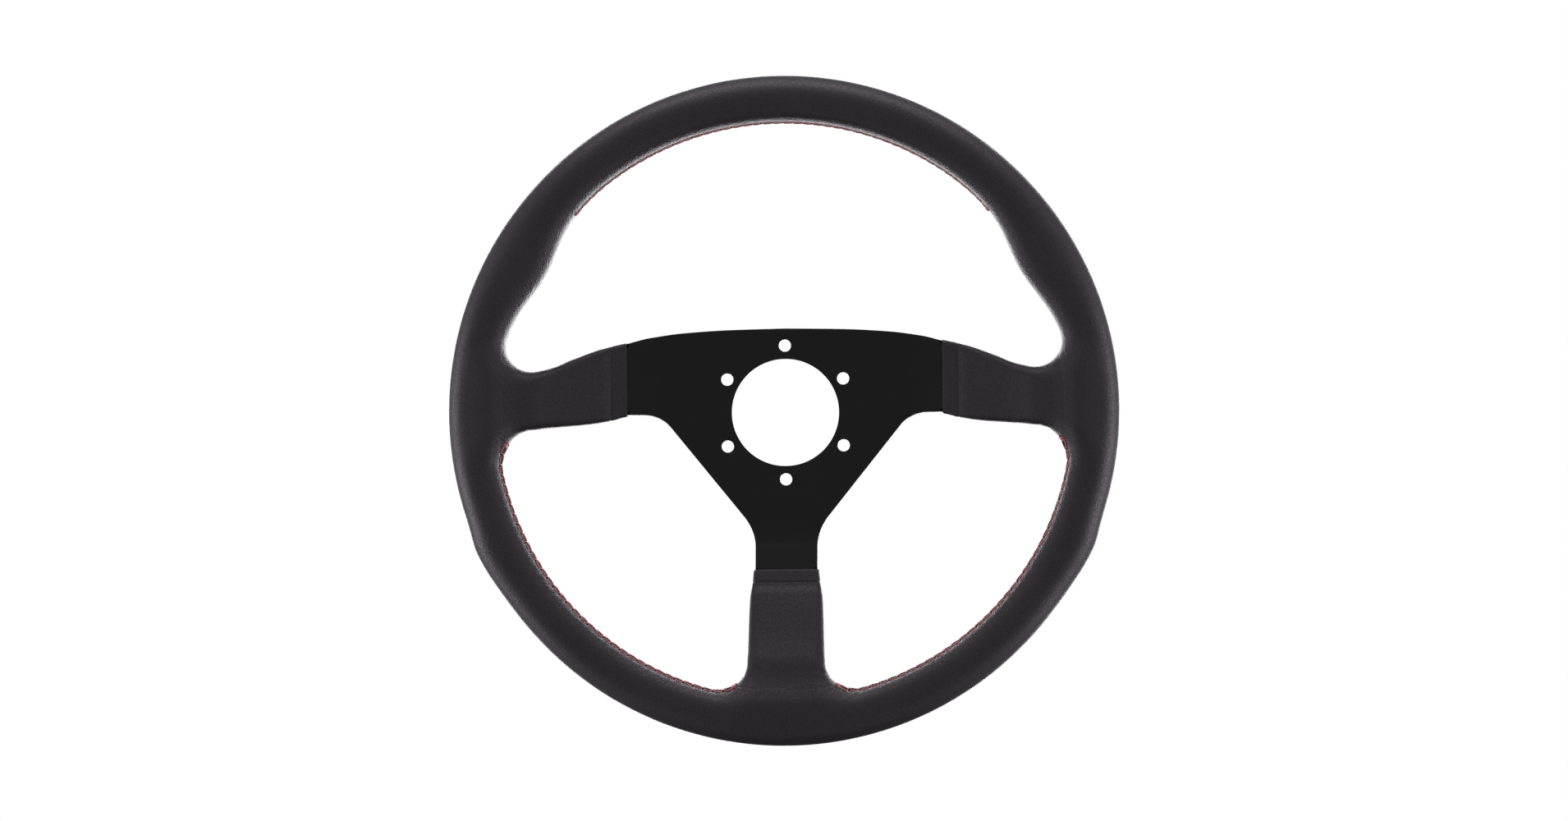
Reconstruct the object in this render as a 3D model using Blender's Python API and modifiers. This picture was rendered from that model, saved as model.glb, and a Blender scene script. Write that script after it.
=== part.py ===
"""Dished three-spoke steering wheel with a leather-covered rim.

Metres, +Z up. The wheel stands upright with its driver's side facing -Y. The origin is the centre of
the hub's rear face, which bolts to a hub boss with six bolts on a 70 mm circle.
"""

import math
from collections import namedtuple

import bmesh
import bpy
from mathutils import Matrix, Vector

MM = 0.001

# Driving dimensions
WHEEL_RADIUS = 175 * MM
GRIP_WIDTH = 24.5 * MM
GRIP_DEPTH = 30 * MM
DISH = 39 * MM
GRIP_SQUARENESS = 2.3
PLATE_THICKNESS = 4 * MM
HUB_BORE_RADIUS = 28 * MM
BOLT_CIRCLE_RADIUS = 35 * MM
BOLT_HOLE_RADIUS = 3.2 * MM
BOLT_COUNT = 6
LEATHER = 1.2 * MM
GAP = 0.3 * MM
TONGUE_PLAY = 0.45 * MM
THREAD_RADIUS = 0.5 * MM
RING_RADIUS = 4 * MM

# Shape of the grip, as angles above the horizontal on either side of the wheel
THUMB_ANGLE = 30
THUMB_SPREAD = 7.2
THUMB_RISE = 7.2 * MM
PALM_ANGLE = -24.5
PALM_SPREAD_ABOVE = 2.6
PALM_SPREAD_BELOW = 5
PALM_RISE = 1.7 * MM
UPPER_SEAM_END = 44
LOWER_SEAM_START = -8.5
LOWER_SEAM_END = -78.5
SPOKE_REACH = (-18, 20)
STEM_REACH = -72

# Distances from the hub's axis along a spoke
BEND_START = 64 * MM
BEND_END = 134 * MM
BEND_EASE = 5 * MM
CUFF_START = 82.4 * MM
PAD_START = 95 * MM
SLEEVE_END = 146.3 * MM
SPOKE_ROOT = 151 * MM
SPOKE_FILLET = 17 * MM

# The steel tabs on the ring and the rivets that hold the spokes' ends to them
BRACKET_THICKNESS = 3 * MM
BRACKET_START = 146.9 * MM
BRACKET_END = 157.3 * MM
BRACKET_HALF_WIDTH = 10 * MM
RIVET_ALONG = 151.6 * MM
RIVET_SPREAD = 5.5 * MM
RIVET_RADIUS = 2.4 * MM
RIVET_HEAD_RADIUS = 4 * MM
RIVET_CROWN_RADIUS = 2.8 * MM
RIVET_HEAD_HEIGHT = 1.6 * MM
RIVET_DOME = 0.3 * MM
RIVET_STEPS = 10

# Worked out from the driving dimensions
RIM_PLANE = GRIP_DEPTH / 2 - DISH
RIM_INNER = WHEEL_RADIUS - GRIP_WIDTH
RING_CENTRE = WHEEL_RADIUS - GRIP_WIDTH / 2
ROOT_PLANE = RIM_PLANE - 2 * MM
BEND_SLOPE = (ROOT_PLANE + PLATE_THICKNESS / 2) / (BEND_END - BEND_START)
BRACKET_PLANE = ROOT_PLANE + PLATE_THICKNESS / 2 + GAP + BRACKET_THICKNESS / 2
FOAM_INSET = LEATHER + GAP
FOAM_SLOT_START = SLEEVE_END - 8 * MM
CUTTER_DEPTH = 12 * MM
SLIT_HALF = THREAD_RADIUS + GAP

# A spoke's outline under its sleeve: distance along the spoke, then distance across it
SIDE_TOP = [(60, 41.4), (82, 36.9), (96, 33.4), (110, 28.2), (122, 23.3), (132, 21.4), (144, 22.6),
            (152, 25), (170, 30)]
SIDE_BOTTOM = [(60, -1.4), (82, -1.7), (91, -3.9), (102, -5.8), (116, -7.2), (126, -8.2), (138, -10),
               (146, -13), (170, -25)]
LOWER_EDGE = [(60, 16.9), (82, 17.0), (89, 17.6), (98, 19.0), (126, 20.0), (138, 20.8), (147, 23.5),
              (170, 31)]
HALF_THICKNESS = [(60, 3.7), (90, 3.7), (95, 4.9), (120, 6.8), (146, 9.4), (170, 10)]
TONGUE_INSET = [(80, 2.4), (91, 2.4), (95, 3.0), (110, 3.9), (132, 4.2), (146, 7.2), (160, 11)]
SPOKE_STATIONS = [82.4, 88, 91, 95, 105, 111, 117, 123, 129, 134, 139, 143, 146.3]
TONGUE_STATIONS = [81.4, 90, 95, 105, 111, 117, 123, 129, 134, 139, 143, 147, 156.5]

# The bare plate: its top edge, and its lower corners with their radii
PLATE_TOP = [(0, 44.0), (30, 43.4), (54, 41.95), (72, 39.4), (82, 36.4)]
SIDE_CORNER = (65.3, -0.8, 18)
STEM_CORNER = (16.2, -61.75, 27)
SHOULDER = 81 * MM
PLATE_TOP_STEP = 9

# How finely the curved surfaces are divided, in degrees and in points
STATION_SPANS = [(-90, -72, 3), (-72, -18, 6), (-18, 18, 3), (18, 46, 4), (46, 90, 6)]
THREAD_STEP = 2.5
THREAD_MARGIN = 0.02
SLEEVE_THREAD_MARGIN = 0.03
THREAD_POINTS = 10
FIXED_TURNS = [55, 85, 115, 145, 170, 190, 215, 245, 275, 305]
BLACK = (0.012, 0.011, 0.012)
LEATHER_BLACK = (0.022, 0.020, 0.023)
STEEL_GREY = (0.35, 0.35, 0.36)
FOAM_GREY = (0.06, 0.06, 0.065)
THREAD_RED = (0.42, 0.03, 0.04)

Spoke = namedtuple("Spoke", "name along across top bottom")
SPOKES = [
    Spoke("right", Vector((1, 0, 0)), Vector((0, 0, 1)), SIDE_TOP, SIDE_BOTTOM),
    Spoke("left", Vector((-1, 0, 0)), Vector((0, 0, 1)), SIDE_TOP, SIDE_BOTTOM),
    Spoke("lower", Vector((0, 0, -1)), Vector((1, 0, 0)), LOWER_EDGE,
          [(along, -across) for along, across in LOWER_EDGE]),
]
DEPTH = Vector((0, 1, 0))


# ---------------------------------------------------------------- scene and materials

def clear_scene():
    for obj in list(bpy.data.objects):
        bpy.data.objects.remove(obj, do_unlink=True)


def make_collection(name):
    collection = bpy.data.collections.new(name)
    bpy.context.scene.collection.children.link(collection)
    return collection


def make_material(name, colour, roughness, metallic=0.0):
    material = bpy.data.materials.new(name)
    material.use_nodes = True
    shader = material.node_tree.nodes["Principled BSDF"]
    shader.inputs["Base Color"].default_value = (*colour, 1)
    shader.inputs["Roughness"].default_value = roughness
    shader.inputs["Metallic"].default_value = metallic
    return material


def move_to(obj, collection):
    for owner in list(obj.users_collection):
        owner.objects.unlink(obj)
    collection.objects.link(obj)


def finish(obj, material, smooth_angle=40):
    """Puts a finished sub-part in the wheel's collection under its parent."""
    move_to(obj, PARTS)
    obj.parent = ROOT
    obj.data.materials.clear()
    obj.data.materials.append(material)
    obj.data.shade_smooth()
    obj.data.set_sharp_from_angle(angle=math.radians(smooth_angle))


def mesh_object(name, bm):
    bmesh.ops.recalc_face_normals(bm, faces=bm.faces)
    mesh = bpy.data.meshes.new(name)
    bm.to_mesh(mesh)
    bm.free()
    obj = bpy.data.objects.new(name, mesh)
    CUTTERS.objects.link(obj)
    return obj


def cut(obj, cutter):
    cutter.hide_render = True
    cutter.display_type = "WIRE"
    modifier = obj.modifiers.new("cut_" + cutter.name, "BOOLEAN")
    modifier.operation = "DIFFERENCE"
    modifier.solver = "EXACT"
    modifier.object = cutter


# ---------------------------------------------------------------- curves and fields

def secant(before, after):
    return (after[1] - before[1]) / (after[0] - before[0])


def steepness(points, index):
    """Slope at one of a curve's points, which never overshoots the points beside it."""
    near = points[max(index - 1, 0):index + 2]
    if len(near) == 2:
        return secant(near[0], near[1])
    left = secant(near[0], near[1])
    right = secant(near[1], near[2])
    if left * right <= 0:
        return 0.0
    return 2 * left * right / (left + right)


def through(points, position):
    """Smooth curve through points given in millimetres, read at a position in metres."""
    place_along = min(max(position / MM, points[0][0]), points[-1][0])
    index = 0
    while index < len(points) - 2 and place_along > points[index + 1][0]:
        index += 1
    (x0, y0), (x1, y1) = points[index], points[index + 1]
    span = x1 - x0
    t = (place_along - x0) / span
    start_weight = 2 * t**3 - 3 * t**2 + 1
    value = start_weight * y0 + (1 - start_weight) * y1
    value += (t**3 - 2 * t**2 + t) * steepness(points, index) * span
    value += (t**3 - t**2) * steepness(points, index + 1) * span
    return value * MM


def bell(value, centre, spread):
    return math.exp(-((value - centre) / spread) ** 2 / 2)


def soft_ramp(distance, ease):
    """Zero before 0, equal to distance after it, with a rounded corner."""
    if distance <= -ease:
        return 0.0
    if distance >= ease:
        return distance
    return (distance + ease) ** 2 / (4 * ease)


def spoke_plane(along):
    """Depth of the plate's middle surface at a distance along any spoke."""
    ramp = soft_ramp(along - BEND_START, BEND_EASE) - soft_ramp(along - BEND_END, BEND_EASE)
    return BEND_SLOPE * ramp - PLATE_THICKNESS / 2


def spoke_slope(along):
    return (spoke_plane(along + MM) - spoke_plane(along - MM)) / (2 * MM)


def elevation(point):
    """Angle above the horizontal, in degrees, the same on both sides of the wheel."""
    return math.degrees(math.atan2(point.z, abs(point.x)))


def grip_edges(angle):
    palm_spread = PALM_SPREAD_ABOVE if angle > PALM_ANGLE else PALM_SPREAD_BELOW
    outer = WHEEL_RADIUS + PALM_RISE * bell(angle, PALM_ANGLE, palm_spread)
    inner = RIM_INNER - THUMB_RISE * bell(angle, THUMB_ANGLE, THUMB_SPREAD)
    return inner, outer


def rim_distance(point):
    """Distance from the surface of the oval rim, negative inside it."""
    inner, outer = grip_edges(elevation(point))
    from_centre = math.hypot(point.x, point.z) - (inner + outer) / 2
    depth = point.y - RIM_PLANE
    across = abs(from_centre / ((outer - inner) / 2)) ** GRIP_SQUARENESS
    deep = abs(depth / (GRIP_DEPTH / 2)) ** GRIP_SQUARENESS
    size = max((across + deep) ** (1 / GRIP_SQUARENESS), MM)
    return math.hypot(from_centre, depth) * (1 - 1 / size)


def spoke_distance(point, spoke):
    """Distance from the surface of a covered spoke, a slab with rounded edges."""
    along = point.dot(spoke.along)
    if along < BEND_START:
        return WHEEL_RADIUS
    top = through(spoke.top, along)
    bottom = through(spoke.bottom, along)
    half_thickness = through(HALF_THICKNESS, along)
    edge_radius = half_thickness - FOAM_INSET
    across = abs(point.dot(spoke.across) - (top + bottom) / 2) - (top - bottom) / 2 + edge_radius
    lean = math.cos(math.atan(spoke_slope(along)))
    deep = abs(point.y - spoke_plane(along)) * lean - half_thickness + edge_radius
    outside = math.hypot(max(across, 0), max(deep, 0))
    slab = outside + min(max(across, deep), 0) - edge_radius
    beyond = along - SPOKE_ROOT
    if beyond <= 0:
        return slab
    return math.hypot(max(slab, 0), beyond)


def cover_distance(point):
    """Distance from the whole leather surface: the rim and the spokes, joined by fillets."""
    rim = rim_distance(point)
    spoke = min(spoke_distance(point, each) for each in SPOKES)
    corner = math.hypot(max(SPOKE_FILLET - rim, 0), max(SPOKE_FILLET - spoke, 0))
    return max(SPOKE_FILLET, min(rim, spoke)) - corner


def solve(inside, low, high, steps=26):
    """Largest value for which inside(value) is true, between a true low and a false high."""
    for _ in range(steps):
        middle = (low + high) / 2
        if inside(middle):
            low = middle
        else:
            high = middle
    return low


# ---------------------------------------------------------------- lofts

def add_cells(bm, rows, around=True, along=False):
    """Triangles between rows of vertices, split the same way on every surface."""
    following = rows[1:] + rows[:1] if along else rows[1:]
    count = len(rows[0])
    for row, other in zip(rows, following):
        for index in range(count if around else count - 1):
            after = (index + 1) % count
            bm.faces.new((row[index], row[after], other[after]))
            bm.faces.new((row[index], other[after], other[index]))


def add_rows(bm, rings):
    return [[bm.verts.new(point) for point in ring] for ring in rings]


def ring_loft(name, rings):
    """Solid ring through closed sections."""
    bm = bmesh.new()
    add_cells(bm, add_rows(bm, rings), along=True)
    return mesh_object(name, bm)


def strip_loft(name, outer_rings, inner_rings):
    """Sheet of even thickness wrapped almost round a shape, with its long edges facing each other."""
    bm = bmesh.new()
    outer = add_rows(bm, outer_rings)
    inner = add_rows(bm, inner_rings)
    for rows in (outer, inner):
        add_cells(bm, rows, around=False)
    for edge in (0, -1):
        add_cells(bm, [[row[edge] for row in rows] for rows in (outer, inner)], around=False)
        add_cells(bm, [outer[edge], inner[edge]], around=False)
    return mesh_object(name, bm)


def tunnel_loft(name, outer_rings, inner_rings):
    """Solid round a hollow that is open at both ends."""
    bm = bmesh.new()
    outer = add_rows(bm, outer_rings)
    inner = add_rows(bm, inner_rings)
    for rows in (outer, inner, [outer[0], inner[0]], [outer[-1], inner[-1]]):
        add_cells(bm, rows)
    return mesh_object(name, bm)


def tube(name, points, radius):
    curve = bpy.data.curves.new(name, "CURVE")
    curve.dimensions = "3D"
    curve.bevel_depth = radius
    curve.bevel_resolution = 1
    curve.use_fill_caps = True
    spline = curve.splines.new("POLY")
    spline.points.add(len(points) - 1)
    for target, point in zip(spline.points, points):
        target.co = (*point, 1)
    obj = bpy.data.objects.new(name, curve)
    CUTTERS.objects.link(obj)
    bpy.context.view_layer.update()
    evaluated = obj.evaluated_get(bpy.context.evaluated_depsgraph_get())
    mesh = bpy.data.meshes.new_from_object(evaluated)
    bm = bmesh.new()
    bm.from_mesh(mesh)
    bm.transform(obj.matrix_world)
    bmesh.ops.remove_doubles(bm, verts=bm.verts, dist=0.01 * MM)
    bpy.data.objects.remove(obj)
    return mesh_object(name, bm)


# ---------------------------------------------------------------- the rim

def rim_centre(degrees):
    angle = math.radians(degrees)
    outward = Vector((math.cos(angle), 0, math.sin(angle)))
    inner, outer = grip_edges(elevation(outward))
    return outward * (inner + outer) / 2 + DEPTH * RIM_PLANE, outward


def rim_ray(degrees, turn):
    """Centre of the grip, and a direction turned from the hub's side towards the front."""
    centre, outward = rim_centre(degrees)
    return centre, -outward * math.cos(turn) - DEPTH * math.sin(turn)


def sleeve_limit(degrees):
    """Radius at which the rim's leather gives way to a sleeve, where there is a spoke."""
    angle = direction_elevation(degrees)
    if SPOKE_REACH[0] < angle < SPOKE_REACH[1] or angle < STEM_REACH:
        return SLEEVE_END + GAP / 2
    return 0.0


def grip_point(degrees, turn, inset, limit=0.0):
    """Point on the rim's cover, no nearer to the wheel's axis than the limit."""
    centre, direction = rim_ray(degrees, turn)

    def inside(distance):
        point = centre + direction * distance
        return cover_distance(point) < -inset and math.hypot(point.x, point.z) > limit

    return centre + direction * solve(inside, 0.0, GRIP_DEPTH)


def direction_elevation(degrees):
    angle = math.radians(degrees)
    return elevation(Vector((math.cos(angle), 0, math.sin(angle))))


def has_thread(degrees):
    angle = direction_elevation(degrees)
    return angle > UPPER_SEAM_END or LOWER_SEAM_END < angle < LOWER_SEAM_START


def lip_turn(degrees, side):
    """Turn from the hub's side at which the leather starts, in front (1) or behind (-1)."""
    seam_half = SLIT_HALF if has_thread(degrees) else GAP / 2
    seam_turn = seam_half / (GRIP_WIDTH / 2)
    limit = sleeve_limit(degrees)

    def over_spoke(turn):
        point = grip_point(degrees, side * turn, 0.0)
        return math.hypot(point.x, point.z) < limit

    if not over_spoke(seam_turn):
        return seam_turn
    return solve(over_spoke, seam_turn, math.pi / 2, steps=16)


def rim_stations():
    """Angles round the rim from 6 o'clock to 6 o'clock, closest together at the spokes."""
    half = [start + step * index for start, end, step in STATION_SPANS
            for index in range(math.ceil((end - start) / step))]
    return half + [90] + [180 - angle for angle in reversed(half)]


def section_turns(degrees):
    """Turns round the grip from the front lip to the rear one, most of them fixed."""
    front = lip_turn(degrees, 1)
    rear = 2 * math.pi - lip_turn(degrees, -1)
    first = math.radians(FIXED_TURNS[0])
    last = math.radians(FIXED_TURNS[-1])
    fixed = [math.radians(turn) for turn in FIXED_TURNS]
    return [front, (front + first) / 2] + fixed + [(rear + last) / 2, rear]


def make_rim_wrap():
    """One strip of leather round the rim, its ends butted at 6 o'clock."""
    stations = rim_stations()
    end_gap = math.degrees(GAP / 2 / WHEEL_RADIUS)
    stations[0] += end_gap
    stations[-1] -= end_gap
    outer = []
    inner = []
    for degrees in stations:
        turns = section_turns(degrees)
        limit = sleeve_limit(degrees)
        outer.append([grip_point(degrees, turn, 0.0, limit) for turn in turns])
        inner.append([grip_point(degrees, turn, LEATHER, limit) for turn in turns])
    finish(strip_loft("rim_wrap", outer, inner), MATERIALS["leather"])


def make_rim_foam():
    """Foam moulded round the steel ring, with a slot for each spoke's end."""
    rings = []
    for degrees in rim_stations()[:-1]:
        turns = section_turns(degrees)
        limit = sleeve_limit(degrees)
        opening = turns[0] + 2 * math.pi - turns[-1]
        turns += [turns[-1] + opening * part / 3 for part in (1, 2)]
        rings.append([grip_point(degrees, turn, FOAM_INSET, limit) for turn in turns])
    foam = ring_loft("rim_foam", rings)
    cut(foam, make_ring("ring_channel", RING_RADIUS + GAP))
    for spoke in SPOKES:
        cut(foam, make_foam_slot(spoke))
    finish(foam, MATERIALS["foam"])


def make_ring(name, radius):
    bpy.ops.mesh.primitive_torus_add(
        major_segments=48, minor_segments=8, major_radius=RING_CENTRE, minor_radius=radius,
        location=(0, RIM_PLANE, 0), rotation=(math.pi / 2, 0, 0))
    ring = bpy.context.object
    ring.name = name
    move_to(ring, CUTTERS)
    return ring


def make_rim_threads():
    spans = {
        "rim_thread_upper": (UPPER_SEAM_END, 180 - UPPER_SEAM_END),
        "rim_thread_lower_right": (LOWER_SEAM_START, LOWER_SEAM_END),
        "rim_thread_lower_left": (180 - LOWER_SEAM_START, 180 - LOWER_SEAM_END),
    }
    for name, (start, end) in spans.items():
        count = round(abs(end - start) / THREAD_STEP)
        margin = (end - start) * THREAD_MARGIN
        angles = [start + margin + (end - start - 2 * margin) * index / count for index in range(count + 1)]
        points = [grip_point(angle, 0.0, THREAD_RADIUS) for angle in angles]
        finish(tube(name, points, THREAD_RADIUS), MATERIALS["thread"])


# ---------------------------------------------------------------- the spokes

def place(spoke, along, across, depth):
    return spoke.along * along + spoke.across * across + DEPTH * depth


def tongue_edges(spoke, along):
    """Top and bottom of the plate's tongue, which lies under the sleeve."""
    inset = through(TONGUE_INSET, along)
    return through(spoke.top, along) - inset, through(spoke.bottom, along) + inset


def bowed_along(along, across):
    """Distance along a spoke on a surface that bows from a flat cuff into the rim's circle."""
    share = (along - CUFF_START) / (SLEEVE_END - CUFF_START)
    end = math.sqrt((SLEEVE_END - GAP / 2) ** 2 - across**2)
    return CUFF_START + share * (end - CUFF_START)


def spoke_section(spoke, along):
    """Places (across, deep) on the hollow round the tongue, from behind its middle and round."""
    top, bottom = tongue_edges(spoke, along)
    top = tongue_edges(spoke, bowed_along(along, top))[0]
    bottom = tongue_edges(spoke, bowed_along(along, bottom))[1]
    middle = (top + bottom) / 2
    half_width = (top - bottom) / 2 + TONGUE_PLAY
    half_depth = PLATE_THICKNESS / 2 + GAP
    quarter = [(SLIT_HALF, half_depth), (half_width * 0.5, half_depth), (half_width * 0.85, half_depth),
               (half_width, half_depth), (half_width, half_depth * 0.6), (half_width, 0)]
    front = [(across, -deep) for across, deep in reversed(quarter[:-1])]
    right = quarter + front
    left = [(-across, deep) for across, deep in reversed(right)]
    return middle, right + left


def section_point(spoke, along, middle, place_in_section, inset):
    """Point of a spoke's cover straight out from a place in its section; inset None keeps the place."""
    reach = math.hypot(*place_in_section)
    step = [value / reach for value in place_in_section]

    def point_at(distance):
        across = middle + distance * step[0]
        bowed = bowed_along(along, across)
        lean = math.cos(math.atan(spoke_slope(bowed)))
        return place(spoke, bowed, across, spoke_plane(bowed) + distance * step[1] / lean)

    if inset is None:
        return point_at(reach)
    return point_at(solve(lambda distance: cover_distance(point_at(distance)) < -inset, 0.0, RIM_INNER / 4))


def spoke_ring(spoke, along, inset):
    middle, places = spoke_section(spoke, along)
    return [section_point(spoke, along, middle, each, inset) for each in places]


def make_sleeve(spoke):
    """Leather sleeve round a spoke, closed by a seam behind it."""
    stations = [station * MM for station in SPOKE_STATIONS]
    outer = [spoke_ring(spoke, along, 0.0) for along in stations]
    inner = [spoke_ring(spoke, along, LEATHER) for along in stations]
    finish(strip_loft("sleeve_" + spoke.name, outer, inner), MATERIALS["leather"])


def make_pad(spoke):
    """Padding round the covered end of a spoke, between the plate and the leather."""
    stations = [station * MM for station in SPOKE_STATIONS if station * MM >= PAD_START]
    outer = [spoke_ring(spoke, along, FOAM_INSET) for along in stations]
    inner = [spoke_ring(spoke, along, None) for along in stations]
    finish(tunnel_loft("spoke_pad_" + spoke.name, outer, inner), MATERIALS["foam"])


def make_sleeve_thread(spoke):
    """Thread that fills the seam behind a sleeve."""
    length = SLEEVE_END - CUFF_START
    points = []
    for index in range(THREAD_POINTS):
        share = index / (THREAD_POINTS - 1)
        along = CUFF_START + length * (SLEEVE_THREAD_MARGIN + (1 - 2 * SLEEVE_THREAD_MARGIN) * share)
        middle, _ = spoke_section(spoke, along)
        points.append(section_point(spoke, along, middle, (0, PLATE_THICKNESS), THREAD_RADIUS))
    finish(tube("sleeve_thread_" + spoke.name, points, THREAD_RADIUS), MATERIALS["thread"])


# ---------------------------------------------------------------- the plate and its fastenings

def arc_corner(before, corner, after, radius, steps=4):
    """Points of the arc that rounds a corner."""
    into = (before - corner).normalized()
    out = (after - corner).normalized()
    half_angle = into.angle(out) / 2
    centre = corner + (into + out).normalized() * radius / math.sin(half_angle)
    reach = radius / math.tan(half_angle)
    first = (corner + into * reach - centre).normalized()
    last = (corner + out * reach - centre).normalized()
    return [centre + first.slerp(last, step / steps) * radius for step in range(steps + 1)]


def plate_outline():
    """Outline of the right half, from the top of the hub to the foot of the lower spoke."""
    side, _, lower = SPOKES
    crown = [x * MM for x in range(0, PLATE_TOP[-1][0], PLATE_TOP_STEP)]
    outline = [Vector((x, 0, through(PLATE_TOP, x))) for x in crown]
    tongue = [along * MM for along in TONGUE_STATIONS]
    outline += [place(side, along, tongue_edges(side, along)[0], 0) for along in tongue]
    outline += [place(side, along, tongue_edges(side, along)[1], 0) for along in reversed(tongue)]
    side_corner = Vector((SIDE_CORNER[0] * MM, 0, SIDE_CORNER[1] * MM))
    stem_corner = Vector((STEM_CORNER[0] * MM, 0, STEM_CORNER[1] * MM))
    shoulder = Vector((SHOULDER, 0, side_corner.z))
    foot = Vector((stem_corner.x, 0, -SHOULDER))
    outline.append(shoulder)
    outline += arc_corner(shoulder, side_corner, stem_corner, SIDE_CORNER[2] * MM)
    outline += arc_corner(side_corner, stem_corner, foot, STEM_CORNER[2] * MM)
    outline.append(foot)
    outline += [place(lower, along, tongue_edges(lower, along)[0], 0) for along in tongue]
    return outline


def plate_surface(flat_point, side):
    """A point of the flat outline moved to the front (-1) or the rear (1) of the bent plate."""
    spoke = max(SPOKES, key=lambda each: flat_point.dot(each.along))
    along = flat_point.dot(spoke.along)
    normal = (DEPTH - spoke.along * spoke_slope(along)).normalized()
    return flat_point + DEPTH * spoke_plane(along) + normal * side * PLATE_THICKNESS / 2


def make_plate():
    """One flat plate, bent forward along each spoke and bent back again at the rim."""
    right = plate_outline()
    left = [Vector((-point.x, 0, point.z)) for point in reversed(right[1:])]
    bm = bmesh.new()
    bm.faces.new([bm.verts.new(point) for point in right + left])
    for bend in (BEND_START, BEND_END):
        for shift in (-BEND_EASE, 0, BEND_EASE):
            for spoke in SPOKES:
                geometry = bm.verts[:] + bm.edges[:] + bm.faces[:]
                bmesh.ops.bisect_plane(
                    bm, geom=geometry, dist=0.001 * MM, plane_co=spoke.along * (bend + shift),
                    plane_no=spoke.along)
    extruded = bmesh.ops.extrude_face_region(bm, geom=bm.faces[:])["geom"]
    rear = {item for item in extruded if isinstance(item, bmesh.types.BMVert)}
    for vertex in bm.verts:
        vertex.co = plate_surface(vertex.co, 1 if vertex in rear else -1)
    plate = mesh_object("spoke_plate", bm)
    cut(plate, make_cylinder("hub_bore", HUB_BORE_RADIUS, CUTTER_DEPTH, Vector((0, 0, 0)), 48))
    for index in range(BOLT_COUNT):
        angle = math.radians(90 + index * 360 / BOLT_COUNT)
        position = Vector((math.cos(angle), 0, math.sin(angle))) * BOLT_CIRCLE_RADIUS
        cut(plate, make_cylinder(f"bolt_hole_{index + 1}", BOLT_HOLE_RADIUS, CUTTER_DEPTH, position, 20))
    for spoke in SPOKES:
        for number, position in enumerate(rivet_positions(spoke)):
            cut(plate, make_cylinder(
                f"plate_hole_{spoke.name}_{number}", RIVET_RADIUS + GAP, CUTTER_DEPTH, position, 12))
    finish(plate, MATERIALS["anodised"], smooth_angle=30)


def make_cylinder(name, radius, depth, position, segments):
    bpy.ops.mesh.primitive_cylinder_add(
        vertices=segments, radius=radius, depth=depth, location=position, rotation=(math.pi / 2, 0, 0))
    cylinder = bpy.context.object
    cylinder.name = name
    move_to(cylinder, CUTTERS)
    return cylinder


def make_box(name, spoke, along, across, depth):
    """Box between two distances along a spoke, across it and in depth."""
    bm = bmesh.new()
    bmesh.ops.create_cube(bm, size=1)
    size = Matrix.Diagonal((along[1] - along[0], depth[1] - depth[0], across[1] - across[0], 1))
    bmesh.ops.transform(bm, matrix=size, verts=bm.verts)
    box = mesh_object(name, bm)
    middle = [sum(pair) / 2 for pair in (along, across, depth)]
    box.location = place(spoke, *middle)
    box.rotation_euler = (0, math.atan2(-spoke.along.z, spoke.along.x), 0)
    return box


def spoke_middle(spoke):
    """Middle of a spoke's width where it meets the rim."""
    top, bottom = tongue_edges(spoke, RIVET_ALONG)
    return (top + bottom) / 2


def rivet_positions(spoke):
    middle = spoke_middle(spoke)
    depth = ROOT_PLANE + (BRACKET_THICKNESS + GAP) / 2
    return [place(spoke, RIVET_ALONG, middle + offset, depth) for offset in (-RIVET_SPREAD, RIVET_SPREAD)]


def make_foam_slot(spoke):
    """Room in the foam for the plate's tongue, the bracket and the rivets' heads."""
    top, bottom = tongue_edges(spoke, TONGUE_STATIONS[-1] * MM)
    room = 2 * GAP
    rear = BRACKET_PLANE + BRACKET_THICKNESS / 2 + RIVET_HEAD_HEIGHT + room
    front = ROOT_PLANE - PLATE_THICKNESS / 2 - RIVET_HEAD_HEIGHT - room
    return make_box(
        "foam_slot_" + spoke.name, spoke, (FOAM_SLOT_START, BRACKET_END + GAP),
        (bottom - 3 * GAP, top + 3 * GAP), (front, rear))


def make_bracket(spoke):
    """Steel tab, welded to the ring, that the spoke's end is riveted to."""
    middle = spoke_middle(spoke)
    bracket = make_box(
        "ring_bracket_" + spoke.name, spoke, (BRACKET_START, BRACKET_END),
        (middle - BRACKET_HALF_WIDTH, middle + BRACKET_HALF_WIDTH),
        (BRACKET_PLANE - BRACKET_THICKNESS / 2, BRACKET_PLANE + BRACKET_THICKNESS / 2))
    for number, position in enumerate(rivet_positions(spoke)):
        cut(bracket, make_cylinder(
            f"bracket_hole_{spoke.name}_{number}", RIVET_RADIUS + GAP, CUTTER_DEPTH, position, 12))
    finish(bracket, MATERIALS["steel"])


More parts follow.
